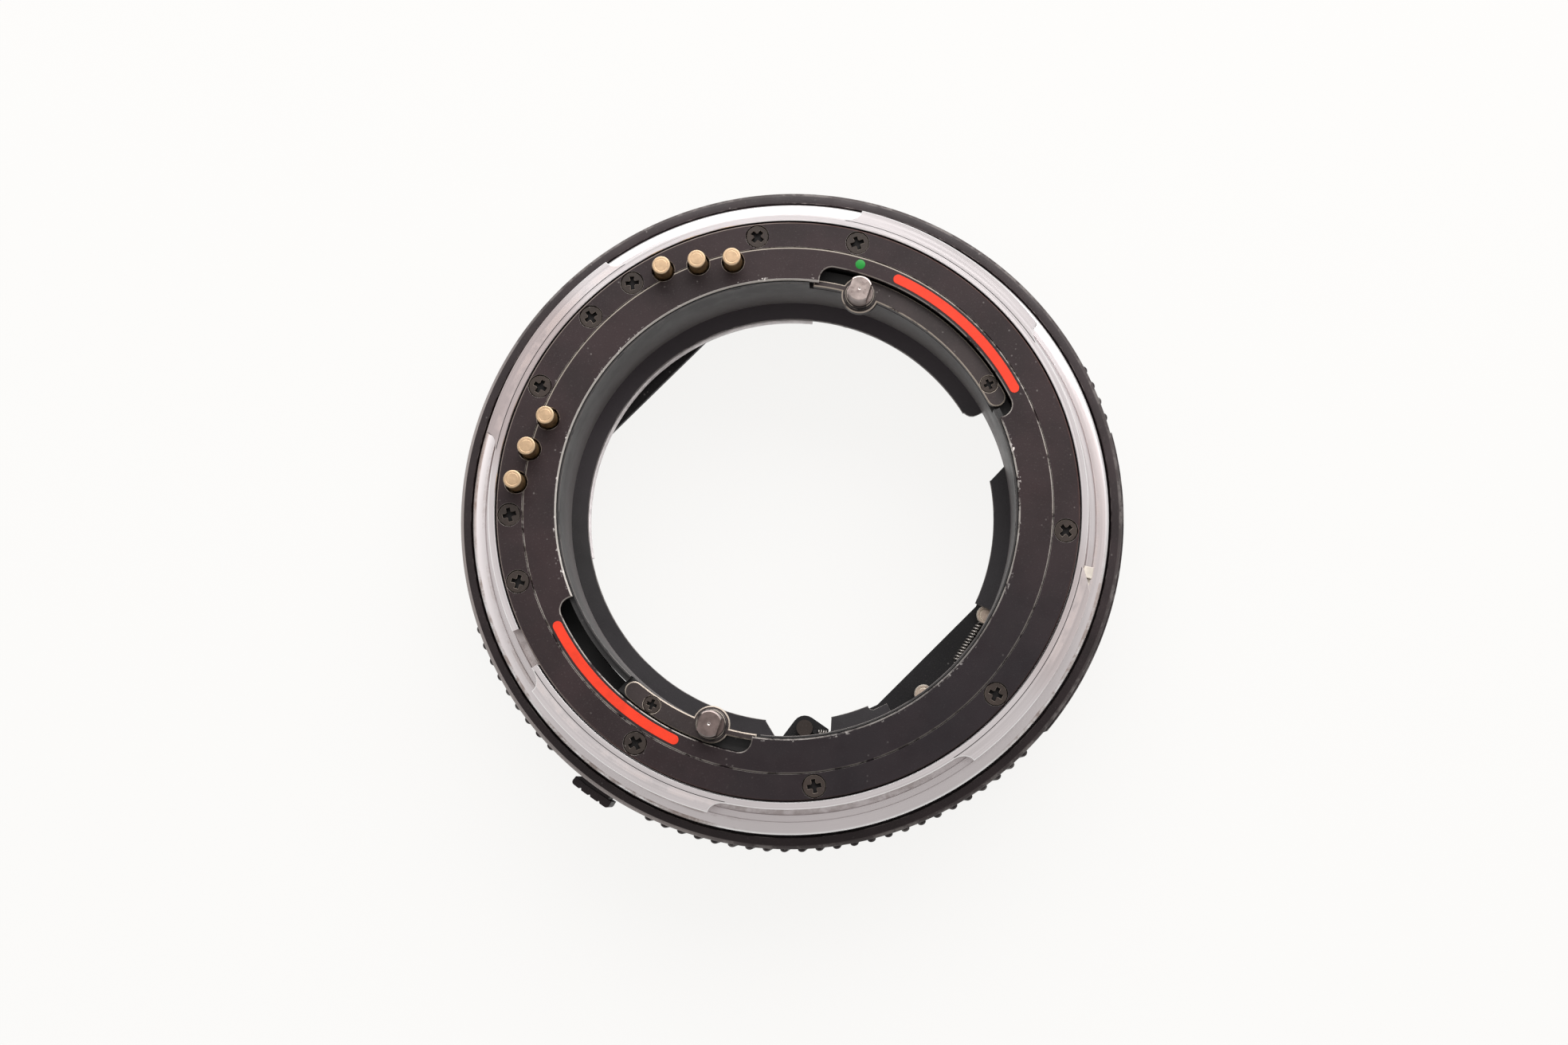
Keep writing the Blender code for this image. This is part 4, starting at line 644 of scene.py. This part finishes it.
def make_paint_look(name, colour):
    """The paint of a mark, a little rough and specked."""
    look = Look(name, colour, 0.45, 0.0, 0.3)
    look.shade(look.noise(700.0, 4.0), 0.90, 1.06)
    look.paint(look.ramp(look.noise(2600.0, 3.0, 0.7), 0.68, 0.76), (0.05, 0.02, 0.02), 0.4)
    look.bump(look.noise(2400.0), 0.000010)
    return look.done()


def make_plastic_look():
    """The contact blocks' black plastic, gold at the height of their pads."""
    look = Look("black_plastic", (0.012, 0.012, 0.013), 0.5, 0.0, 0.35)
    look.shade(look.noise(900.0), 0.8, 1.3)
    look.bump(look.noise(5000.0, 2.0), 0.00001)
    pads = look.between(look.z, PAD_BOTTOM * MM, PAD_TOP * MM, 0.02 * MM)
    look.paint(pads, (0.62, 0.47, 0.26), 1.0, metallic=1.0, roughness=0.3)
    return look.done()


def make_looks():
    """Every material of the tube, by name."""
    screw = black_look("black_screw", (0.026, 0.018, 0.0145), 0.48, 0.6, (0.20, 0.165, 0.14), specular=0.27)
    mechanism = black_look("mechanism_black", (0.0075, 0.0066, 0.0072), 0.55, 0.7, (0.16, 0.14, 0.13),
                           specular=0.2)
    return {
        "black_plate": make_plate_look(),
        "chrome": make_bayonet_look(),
        "drive_ring": make_ring_look(),
        # Painted light: the arms have the plates' black made lighter.
        "arm": black_look("drive_arm", (0.0235, 0.0155, 0.0150), 0.50, 1.0, (0.58, 0.50, 0.42)).done(),
        "barrel": make_barrel_look(),
        "front_chrome": chrome_look("front_chrome", (0.70, 0.665, 0.665)).done(),
        "gold": make_gold_look(),
        "nickel": make_nickel_look(),
        "brass": make_brass_look(),
        "key": mottled_look("pale_key", (0.66, 0.60, 0.53), 0.42, 0.7, 900.0, 0.85, 1.1),
        # Painted reflection: a pale diffuse colour for the bright line along the drive ring's lip.
        "lip": mottled_look("pale_lip_reflection", (0.85, 0.79, 0.79), 0.42, 0.0, 900.0, 0.85, 1.1),
        "steel": mottled_look("spring_steel", (0.30, 0.28, 0.26), 0.35, 0.9, 2200.0, 0.8, 1.2),
        "screw": screw.done(),
        # Near black: painted shade inside the screws' cross recesses and in the gap by the stop key, and
        # the stop key's two lines.
        "recess": mottled_look("screw_recess", (0.004, 0.003, 0.003), 0.7, 0.0, 3000.0, 0.6, 1.6, 0.2),
        "red_paint": make_paint_look("red_paint", (0.61, 0.031, 0.0085)),
        "green_paint": make_paint_look("green_paint", (0.004, 0.19, 0.021)),
        "bead": mottled_look("index_bead", (0.78, 0.36, 0.33), 0.35, 0.0, 1500.0, 0.9, 1.08),
        "plastic": make_plastic_look(),
        "mechanism": mechanism.done(),
    }


LOOKS = make_looks()


# Pieces

def run_out(angle, run, pointed=False, steps=12):
    """The end of a lug, which meets the wall in a curve or in a point."""
    points = []
    for i in range(1, steps + 1):
        turn = 0.5 * math.pi * i / steps
        out, along = (i / steps, i / steps) if pointed else (math.sin(turn), 1 - math.cos(turn))
        points.append(polar(LUG_R + (WALL_R - LUG_R) * out, angle + run * along))
    return points


def lug_outline(start, end, run_end=LUG_RUN, pointed=False):
    """A bayonet lug with its two ends."""
    wall = arc(WALL_R - 0.3, end + run_end, start - LUG_RUN)
    return arc(LUG_R, start, end) + run_out(end, run_end, pointed) + wall + run_out(start, -LUG_RUN)[::-1]


def make_bayonet():
    """The chromed rear bayonet, with the lip that carries the drive ring."""
    lip_in, lip_top, lip_bottom = 29.2, 16.51, 14.91
    pocket, ledge, cavity = 30.8, 18.3, 31.1
    step_in, step_out, land = 37.5, 38.35, SEAT - 0.28
    bevel = 0.06
    piece = Piece("rear_bayonet_metal")
    piece.lathe([
        (lip_in, lip_top), (pocket, lip_top), (pocket, ledge), (WALL_IN, ledge), (WALL_IN, REAR, 0.07),
        (WALL_R, REAR, 0.12), (WALL_R, SEAT - 0.7), (step_in, SEAT - 0.7), (step_in, land, bevel),
        (step_out, land), (step_out, SEAT, bevel), (FLANGE_R - 0.3, SEAT, bevel),
        (FLANGE_R, SEAT - 0.3, bevel), (FLANGE_R, FLANGE_BOTTOM), (cavity, FLANGE_BOTTOM),
        (cavity, lip_bottom), (lip_in, lip_bottom)])
    slot = Piece("lock_slot")
    slot.rings(raised(sector(WALL_IN - 0.5, WALL_R + 0.5, *LOCK_SLOT), REAR - 1.9, REAR + 0.5))
    show(piece, "tube", ["chrome"], replaces=["rear_bayonet"], cuts=[slot])
    lugs = Piece("bayonet_lugs")
    thickness, edge = 2.1, 0.10
    for i in range(3):
        start = LUG_START + 90.0 * i
        lugs.prism(lug_outline(start, start + LUG_SPAN), REAR - thickness, REAR, edge, edge)
    lugs.prism(lug_outline(LUG_START + 270.0, 344.0, 4.3, True), REAR - thickness, REAR, edge, edge)
    show(lugs, "tube", ["chrome"])


def make_stop_key():
    """The pale key that stops the turn, and a near black block that stands in for the shade in the deep gap
    beside it.
    """
    top, start, end = REAR - 0.3, -13.5, -11.4
    half, sunk = 0.11, 0.02
    key = Piece("stop_key")
    key.prism(sector(36.9, 38.1, start, end), REAR - 2.3, top, 0.06)
    for radius in (37.3, 37.75):
        line = sector(radius - half, radius + half, start + 0.1, end - 0.1)
        key.prism(line, top - sunk, top + sunk, slot=1)
    # Painted shade: a near black block fills the deep gap beside the key.
    key.prism(sector(36.7, 38.0, start - 2.1, start - 0.1), REAR - 2.2, REAR - 0.9, slot=1)
    show(key, "tube", ["key", "recess"])


def hole_cutters(name, places, radius, bottom, top, flare, segments=32):
    """Round holes with chamfered rims."""
    tool = Piece(name)
    for place in places:
        tool.cutter(arc(radius, 0.0, 360.0, place, 360.0 / segments)[:-1], bottom, top, flare)
    return tool


def make_plates():
    """The two black rear plates, which meet at the joint line."""
    contacts = [polar(radius, angle) for angle, radius in CONTACTS]
    contact_hole, contact_flare, below = 1.42, 0.07, PLATE_BOTTOM - 0.6
    screws = [polar(SCREW_R, angle) for angle, turn in SCREWS]
    outer_in, outer_out, outer_step = JOINT_R + 0.09, WALL_IN - 0.22, 33.2
    outer = Piece("outer_plate_face").lathe([
        (outer_in, REAR, 0.03), (outer_out, REAR, 0.12), (outer_out, PLATE_BOTTOM),
        (outer_step, PLATE_BOTTOM), (outer_step, 19.6), (outer_in, 19.6)])
    show(outer, "tube", ["black_plate"], replaces=["outer_plate"], cuts=[
        hole_cutters("outer_contacts", contacts, contact_hole, below, REAR, contact_flare),
        hole_cutters("screw_holes", screws, 1.46, REAR - 0.6, REAR, 0.02)], smooth=20.0)
    joint, inner_step, inner_back = JOINT_R + 0.03, 32.85, 31.1
    inner = Piece("inner_plate_face").lathe([
        (PLATE_R, REAR - 0.6), (inner_back, REAR - 0.6), (inner_back, PLATE_BOTTOM),
        (inner_step, PLATE_BOTTOM), (inner_step, 19.3), (joint, 19.3), (joint, REAR - 0.10),
        (JOINT_R - 0.12, REAR), (PLATE_R + 0.18, REAR), (PLATE_R, REAR - 0.15)])
    notches = Piece("notches")
    for start, end in NOTCHES:
        notches.cutter(rounded_sector(PLATE_R - 1.0, 30.5, start, end, 1.6), REAR - 1.5, REAR, 0.13)
    show(inner, "tube", ["black_plate"], replaces=["inner_plate"], cuts=[
        notches,
        hole_cutters("inner_contacts", contacts, contact_hole, below, REAR, contact_flare)], smooth=20.0)


def make_marks():
    """The two red strokes and the green dot, as thin raised paint."""
    sunk = REAR - 0.02
    red = Piece("red_marks")
    for start, end in RED_MARKS:
        red.prism(band(MARK_R, 0.6, start, end), sunk, REAR + 0.035, 0.03)
    show(red, "tube", ["red_paint"])
    green = Piece("green_mark")
    green.turned([(0.6, sunk), (0.6, REAR + 0.01), (0.45, REAR + 0.05)], polar(MARK_R + 0.1, 73.4))
    show(green, "tube", ["green_paint"])


def cross_outline(half=0.225, reach=0.83, fillet=0.12, widening=1.15):
    """The outline of a cross recess."""
    points = []
    for k in range(4):
        turn = Matrix.Rotation(math.radians(90.0 * k), 2)
        for x, y in ((half + fillet, half), (half, half + fillet),
                     (half * widening, reach), (-half * widening, reach)):
            points.append(tuple(turn @ Vector((x, y))))
    return points


def make_screw(name, body, place, turn, top, radius, replaces):
    """A flat-headed screw; its cross is drawn for a radius of 1.35 mm."""
    piece = Piece(name)
    piece.turned([(radius * 0.55, top - 0.6), (radius, top - 0.12), (radius, top - 0.05),
                  (radius - 0.06, top)], place, segments=40)
    scale = radius / 1.35
    spin = Matrix.Rotation(math.radians(turn), 2)
    tool = Piece(name + "_cross")
    tool.cutter([tuple(Vector(place) + spin @ (Vector(p) * scale)) for p in cross_outline()],
                top - 0.42 * scale, top, 0.05)
    obj = show(piece, body, ["screw", "recess"], replaces=replaces, cuts=[tool])
    # Painted shade: faces inside the cross recess take the near black second material.
    for face in obj.data.polygons:
        away = math.hypot(face.center.x - place[0] * MM, face.center.y - place[1] * MM)
        if away < 0.85 * scale * MM and face.center.z < (top - 0.05) * MM:
            face.material_index = 1


def make_plate_screws():
    """The eleven screws of the outer plate."""
    for i, (angle, turn) in enumerate(SCREWS):
        make_screw(f"plate_screw_head_{i + 1}", "tube", polar(SCREW_R, angle), turn, REAR - 0.12, 1.36,
                   [f"plate_screw_{i + 1}"])


def make_contacts():
    """The gold contact pins, each with a stem, a collar and a dished tip."""
    stem, collar, pin = 0.5, 1.4, 1.13
    foot, shoulder, tip = 17.4, 18.3, 23.06
    for i, (angle, radius) in enumerate(CONTACTS):
        piece = Piece(f"contact_tip_{i + 1}")
        piece.turned([(stem, 14.2), (stem, foot), (collar, foot), (collar, shoulder),
                      (pin, shoulder + 0.05), (pin, tip - 0.14), (pin - 0.04, tip - 0.06),
                      (1.01, tip - 0.01), (0.82, tip), (0.76, tip - 0.02), (0.70, tip),
                      (0.2, tip + 0.01)], polar(radius, angle), segments=40)
        show(piece, f"contact_{i + 1}", ["gold"], replaces=[f"contact_pin_{i + 1}"], smooth=16.0)


# The openings of the drive ring's floor: the span of the outer edge, then the other corners
FLOOR_NOTCH = ((13.6, 29.0), (
    (27.3, 29.05), (26.8, 29.25), (26.4, 29.8), (26.15, 30.5), (26.0, 31.4), (25.5, 31.6),
    (25.5, 10.3), (26.0, 10.6)))
FLOOR_WINDOW = ((-62.4, -24.9), (
    (25.5, -24.9), (25.5, -67.4), (26.1, -67.4), (26.4, -67.1), (26.6, -66.4), (26.6, -62.4)))
PAWL_GAP = ((-93.2, -79.2), ((26.0, -78.1), (25.5, -78.1), (25.5, -96.4), (26.0, -96.4)))


def make_drive_ring():
    """The drive ring inside the light path, with its bearing flange and its floor."""
    flange, lip = 30.4, 28.24
    piece = Piece("drive_ring_face").lathe([
        (RING_IN, RING_BOTTOM), (RING_OUT, RING_BOTTOM), (RING_OUT, BEARING_BOTTOM),
        (flange, BEARING_BOTTOM), (flange, BEARING_TOP), (RING_OUT, BEARING_TOP), (RING_OUT, 19.6),
        (lip, 19.6), (lip, 20.2), (RING_R, 20.2, 0.05), (RING_R, RING_FLOOR),
        (RING_IN, RING_FLOOR, 0.07)])
    seats = Piece("arm_seats")
    for start, end in ARM_ENDS:
        seats.rings(raised(sector(RING_R - 0.5, RING_OUT + 0.5, start - 1.0, end + 1.0), BEARING_TOP, 20.6))
    gap = Piece("flange_gap")
    gap.rings(raised(sector(29.0, 31.0, 95.0, 227.5), BEARING_BOTTOM - 0.51, 18.6))
    floor = Piece("floor_cuts")
    for span, corners in (FLOOR_NOTCH, FLOOR_WINDOW, PAWL_GAP):
        outline = arc(RING_R + 0.05, *span) + [polar(*corner) for corner in corners]
        floor.cutter(outline, RING_BOTTOM - 1.2, RING_FLOOR, 0.05)
    show(piece, "drive", ["drive_ring"], replaces=["drive_ring"], cuts=[seats, gap, floor])


def make_ring_front():
    """The lip's pale arc, a painted reflection, and the two claws on the drive ring's lens side."""
    root = RING_BOTTOM + 0.05
    # Painted reflection: a pale diffuse arc from 84 to 191.5 degrees for the bright line the lip reflects.
    lip = Piece("drive_ring_lip_reflection")
    lip.prism(sector(25.68, 26.7, 84.0, 191.5), RING_BOTTOM - 1.0, root, 0.0, 0.06)
    show(lip, "drive", ["lip"])
    claws = Piece("drive_claws")
    near, far, half, slot = 26.3, 29.9, 3.3, 1.35
    outline = [(near, -half), (far, -half), (far, half), (near, half),
               (near, slot), (far - 0.15, slot), (far - 0.15, -slot), (near, -slot)]
    for angle in DRIVE_ANGLES:
        claws.prism(outline, 7.0, root, 0.0, 0.08, matrix=Matrix.Rotation(math.radians(angle), 4, "Z"))
    show(claws, "drive", ["drive_ring"])


def boss_crossing(radius, boss):
    """The angle from an arm's boss to where an arc about the axis meets it."""
    top = DRIVE_R ** 2 + radius ** 2 - boss ** 2
    return math.degrees(math.acos(top / (2 * DRIVE_R * radius)))


def arm_outline(angle, start, end, boss=2.28):
    """A drive arm: its round end, its round boss and its narrow tail."""
    inner, outer, tail = RING_R, 30.32, 28.8
    centre = polar(DRIVE_R, angle)

    def on_boss(radius, side):
        point = polar(radius, angle + side * boss_crossing(radius, boss))
        return math.degrees(math.atan2(point[1] - centre[1], point[0] - centre[0]))

    low_in, tail_in = on_boss(inner, -1), on_boss(inner, 1)
    tail_out, low_out = on_boss(tail, 1), on_boss(outer, -1)
    while tail_in > low_in:
        tail_in -= 360.0
    while low_out > tail_out:
        low_out -= 360.0
    before, after = boss_crossing(inner, boss), boss_crossing(tail, boss)
    half, first = (outer - inner) / 2, start + 1.8
    outline = arc(inner, first, angle - before)
    outline += arc(boss, low_in, tail_in, centre, 6.0)[1:]
    outline += arc(inner, angle + before, end)[1:]
    outline += arc(tail, end, angle + after)
    outline += arc(boss, tail_out, low_out, centre, 6.0)[1:]
    outline += arc(outer, angle - boss_crossing(outer, boss), first)[1:]
    return outline + arc(half, first, first - 180.0, polar(inner + half, first), 15.0)[1:-1]


def make_drive():
    """The two arms, each with its pin and its screw."""
    for i, name in enumerate(("upper", "lower")):
        angle = DRIVE_ANGLES[i]
        arm = Piece(f"arm_{name}")
        arm.prism(arm_outline(angle, *ARM_ENDS[i]), ARM_BOTTOM, ARM_TOP, 0.15)
        screw_angle, turn = ARM_SCREWS[i]
        place = polar(29.2, screw_angle)
        hole = hole_cutters(f"arm_hole_{name}", [place], 1.1, 18.9, ARM_TOP, 0.05)
        show(arm, "drive", ["arm"], replaces=[f"drive_arm_{name}"], cuts=[hole])
        make_screw(f"arm_screw_head_{name}", "drive", place, turn, ARM_TOP - 0.05, 1.02,
                   [f"arm_screw_{i + 1}"])
        make_drive_pin(name, angle)


def make_drive_pin(name, angle):
    """A drive pin with two flats and a centre mark in its tip."""
    tip, collar = REAR + 2.4, ARM_TOP + 0.3
    root, body, wide = 0.9, 1.62, 1.8
    centre = polar(DRIVE_R, angle)
    pin = Piece(f"pin_{name}")
    pin.turned([(root, 16.6), (root, collar - 0.05), (wide - 0.06, collar - 0.05), (wide, collar),
                (wide, collar + 0.22), (wide - 0.08, collar + 0.3), (1.3, collar + 0.3),
                (1.25, collar + 0.42), (body, collar + 0.5), (body, tip - 0.16), (body - 0.07, tip - 0.05),
                (body - 0.20, tip), (0.20, tip), (0.10, tip - 0.06)], centre, segments=48)
    flats = Piece(f"flats_{name}")
    turn = Matrix.Rotation(math.radians(angle), 4, "Z")
    reach, flat = 3.0, 1.2
    for near, far in ((-reach, -flat), (flat, reach)):
        outline = [(DRIVE_R - reach, near), (DRIVE_R + reach, near),
                   (DRIVE_R + reach, far), (DRIVE_R - reach, far)]
        flats.rings(raised(outline, collar + 0.5, tip + 0.5), matrix=turn)
    show(pin, "drive", ["nickel"], replaces=[f"drive_pin_{name}"], cuts=[flats], smooth=14.0)
    seat = Piece(f"pin_seat_{name}")
    seat.turned([(1.95, ARM_TOP - 0.05), (1.95, ARM_TOP + 0.1), (1.85, ARM_TOP + 0.18)], centre)
    show(seat, "drive", ["mechanism"])


def make_barrel():
    """The outer shell with its rim, and the openings for the release."""
    foot, web_in, bore = 0.6, 34.4, 38.9
    piece = Piece("barrel_shell")
    piece.lathe([
        (BORE_R, foot, 0.05), (RIM_R, foot), (BARREL_R, foot + 0.4), (BARREL_R, RIM_TOP - 0.4, 0.06),
        (RIM_R, RIM_TOP, 0.06), (RIM_R - 1.0, RIM_TOP, 0.07), (RIM_R - 1.0, WEB_TOP), (web_in, WEB_TOP),
        (web_in, WEB_BOTTOM), (bore, WEB_BOTTOM), (bore, 2.3), (BORE_R, 2.3)])
    pocket = Piece("release_pocket")
    pocket.rings(raised(sector(33.9, 38.7, 198.5, 241.0), WEB_BOTTOM - 0.5, WEB_BOTTOM + 1.4))
    window = Piece("release_window")
    window.rings(raised(sector(38.4, 42.6, 225.0, 238.0), WEB_BOTTOM, WEB_BOTTOM + 1.4))
    show(piece, "tube", ["barrel"], replaces=["barrel"], cuts=[pocket, window])


def make_grip():
    """The ribs of the grip, three degrees apart, and its smooth pad."""
    ribs = Piece("grip_ribs")
    for start, end in RIB_BANDS:
        for i in range(round((end - start) / 3.0) + 1):
            add_rib(ribs, start + 3.0 * i)
    ribs.prism(sector(BARREL_R - 0.3, BARREL_R + 0.29, -40.0, 14.5), RIB_BOTTOM, RIB_TOP, 0.2, 0.2)
    show(ribs, "tube", ["barrel"], smooth=50.0)


def add_rib(piece, angle):
    """One rounded rib with ball ends."""
    half, rise, root = 0.52, 0.375, BARREL_R - 0.25
    steps = ((0.0, 0.05), (0.06, 0.45), (0.18, 0.75), (0.38, 0.95), (0.6, 1.0))
    levels = [(RIB_BOTTOM + d, s) for d, s in steps] + [(RIB_TOP - d, s) for d, s in reversed(steps)]
    rings = []
    for z, size in levels:
        ring = []
        for k in range(9):
            a = math.pi * k / 8
            ring.append((BARREL_R + 0.02 + rise * size * math.sin(a), half * size * math.cos(a), z))
        ring.append((root, -half * size, z))
        ring.append((root, half * size, z))
        rings.append(ring)
    piece.rings(rings, matrix=Matrix.Rotation(math.radians(angle), 4, "Z"))


def make_release_foot():
    """The foot of the thumb tab, which slides on the barrel."""
    foot = Piece("release_tab_foot")
    foot.prism(sector(BARREL_R + 0.06, 42.5, 231.7, 237.8), 6.7, 10.7)
    show(foot, "release", ["barrel"])


def make_studs():
    """The two brass studs in the window, with a ring groove in each head."""
    bottom, head, top = 7.0, 8.7, 9.1
    for name, place in (("spring_stud", (24.86, -12.33)), ("lever_stud", (16.97, -22.33))):
        piece = Piece(name + "_head")
        piece.turned([(0.5, bottom), (0.5, head), (1.1, head), (1.2, head + 0.1), (1.2, top - 0.12),
                      (1.08, top), (0.86, top), (0.78, top - 0.07), (0.70, top), (0.2, top + 0.02)],
                     place, segments=36)
        show(piece, "tube", ["brass"], replaces=[name], smooth=35.0)


def helix(start, end, radius, turns, per_turn=16):
    """Points along a coil between two points."""
    start, end = Vector(start), Vector(end)
    axis = (end - start).normalized()
    side = axis.orthogonal().normalized()
    other = axis.cross(side)
    count = int(turns * per_turn)
    return [start + (end - start) * (i / count)
            + (side * math.cos(2 * math.pi * i / per_turn)
               + other * math.sin(2 * math.pi * i / per_turn)) * radius
            for i in range(count + 1)]


def make_pull_springs():
    """The return spring, hooked round its stud, and the pawl's spring."""
    stud, post, z = Vector((24.86, -12.33)), Vector((20.60, -18.80)), 8.35
    pull = (post - stud).normalized()
    across = Vector((-pull.y, pull.x))
    hook = 0.72
    start, end = stud + pull * 1.4, post - pull * 0.9
    path = [(*(stud + across * hook), z - 0.1), (*(stud - pull * hook), z - 0.1),
            (*(stud - across * hook), z - 0.1), (*(stud + pull * 0.9), z)]
    spring = Piece("return_coil")
    spring.wire(path + helix((*start, z), (*end, z), 0.4, 13) + [(*(end + pull * 0.35), z)], 0.11)
    show(spring, "tube", ["steel"], replaces=["return_spring"], smooth=60.0)
    start, end, z = Vector((3.3, -27.1)), Vector((6.6, -27.6)), 8.85
    pull = (end - start).normalized()
    coil = Piece("pawl_coil")
    coil.wire(helix((*(start + pull * 0.45), z), (*(end - pull * 0.45), z), 0.3, 8), 0.09)
    show(coil, "tube", ["steel"], replaces=["pawl_spring"], smooth=60.0)


def add_press_spring(name, node, place, span, radius, turns):
    """A coil about an upright line, given a mesh of its own."""
    bottom, top = span
    coil = Piece(name)
    coil.wire(helix((*place, bottom), (*place, top), radius, turns), 0.14)
    obj = show(coil, "tube", ["steel"], replaces=[node], smooth=60.0)
    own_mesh(obj)


def make_press_springs():
    """The springs under the contact pins and over the lock pin."""
    for i, (angle, radius) in enumerate(CONTACTS):
        add_press_spring(f"contact_coil_{i + 1}", f"contact_spring_{i + 1}",
                         polar(radius, angle), (12.0, 17.1), 1.05, 6)
    add_press_spring("lock_pin_coil", "lock_pin_spring", polar(36.5, 208.9), (10.1, 11.6),
                     1.0, 3)


def dress_cad():
    """Gives the CAD nodes that stay their looks."""
    chosen = {
        "mechanism_plate": "mechanism", "front_bayonet": "front_chrome", "index_bead": "bead",
        "contact_block_a": "plastic", "contact_block_b": "plastic", "stop_lever": "mechanism",
        "interlock_pawl": "mechanism", "pawl_pivot": "screw", "release_slider": "steel",
        "release_tab": "barrel", "lock_pin": "nickel",
    }
    for name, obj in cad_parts.items():
        look = "screw" if name.startswith(("mechanism_screw", "base_screw")) else chosen.get(name)
        if look:
            obj.data.materials.clear()
            obj.data.materials.append(LOOKS[look])


# Stage

def lay_over(tree, mask, plain, pale, output):
    """Shows a pale surface over a plain one where the mask says."""
    mix = tree.nodes.new("ShaderNodeMixShader")
    sources = (mask, plain.outputs[0], pale.outputs[0])
    for source, socket in zip(sources, mix.inputs):
        tree.links.new(source, socket)
    tree.links.new(mix.outputs[0], tree.nodes[output].inputs["Surface"])


def make_stage():
    """A pale floor, near white for the camera and in metal, which keeps a soft shadow."""
    mesh = bpy.data.meshes.new("floor")
    size = 3.0
    mesh.from_pydata([(-size, -size, 0), (size, -size, 0), (size, size, 0), (-size, size, 0)], [],
                     [(0, 1, 2, 3)])
    floor = add_object("floor", mesh)
    floor.location.z = -0.00005
    look = Look("floor", (0.80, 0.79, 0.785), 0.7)
    mesh.materials.append(look.done())
    glow = look.node("Emission", {"Color": (0.953, 0.945, 0.930)})
    rays = look.node("LightPath").outputs
    seen = look.either(rays["Is Camera Ray"], rays["Is Glossy Ray"])
    lay_over(look.material.node_tree, look.both(seen, 0.93), look.shader, glow, "Material Output")


def add_light(name, place, size, power):
    """A soft box that points at the tube."""
    light = bpy.data.lights.new(name, "AREA")
    light.shape = "RECTANGLE"
    light.size, light.size_y = size
    light.energy = power
    obj = add_object(name, light)
    obj.location = place
    aim = Vector((0.0, 0.0, 0.01)) - Vector(place)
    obj.rotation_euler = aim.to_track_quat("-Z", "Y").to_euler()


def make_light():
    """Soft light from all round, a key light beyond the top, and a pale backdrop."""
    world = bpy.data.worlds.new("studio")
    bpy.context.scene.world = world
    world.use_nodes = True
    nodes = world.node_tree.nodes
    light, pale = nodes["Background"], nodes.new("ShaderNodeBackground")
    light.inputs["Color"].default_value = (1.0, 0.985, 0.975, 1.0)
    light.inputs["Strength"].default_value = 0.62
    pale.inputs["Color"].default_value = (0.945, 0.937, 0.922, 1.0)
    camera_ray = nodes.new("ShaderNodeLightPath").outputs["Is Camera Ray"]
    lay_over(world.node_tree, camera_ray, light, pale, "World Output")
    add_light("key", (0.12, 0.62, 0.52), (1.1, 0.5), 13.5)
    add_light("left", (-0.45, 0.15, 0.60), (0.5, 0.4), 0.45)
    add_light("right", (0.45, 0.25, 0.60), (0.5, 0.4), 0.25)


def make_camera():
    """The camera stands behind the tube's rear face and slightly below its axis."""
    data = bpy.data.cameras.new("camera")
    data.sensor_width = 36.0
    data.lens = 45.73
    data.clip_start = 0.01
    camera = add_object("camera", data)
    right, up, back = (0.99882, 0.00647, -0.04807), (0.0, 0.99105, 0.13347), (0.04850, -0.13331, 0.98989)
    place = (0.011557, -0.034486, 0.261344)
    rows = [(*row, 0.0) for row in (right, up, back)] + [(*place, 1.0)]
    camera.matrix_world = Matrix(rows).transposed()
    bpy.context.scene.camera = camera


def main():
    """Builds the looks round the frame."""
    bpy.context.scene.view_settings.view_transform = "Standard"
    for make in (dress_cad, make_bayonet, make_stop_key, make_plates, make_marks, make_plate_screws,
                 make_contacts, make_drive_ring, make_ring_front, make_drive, make_barrel, make_grip,
                 make_release_foot, make_studs, make_pull_springs, make_press_springs):
        make()
    make_stage()
    make_light()
    make_camera()


main()
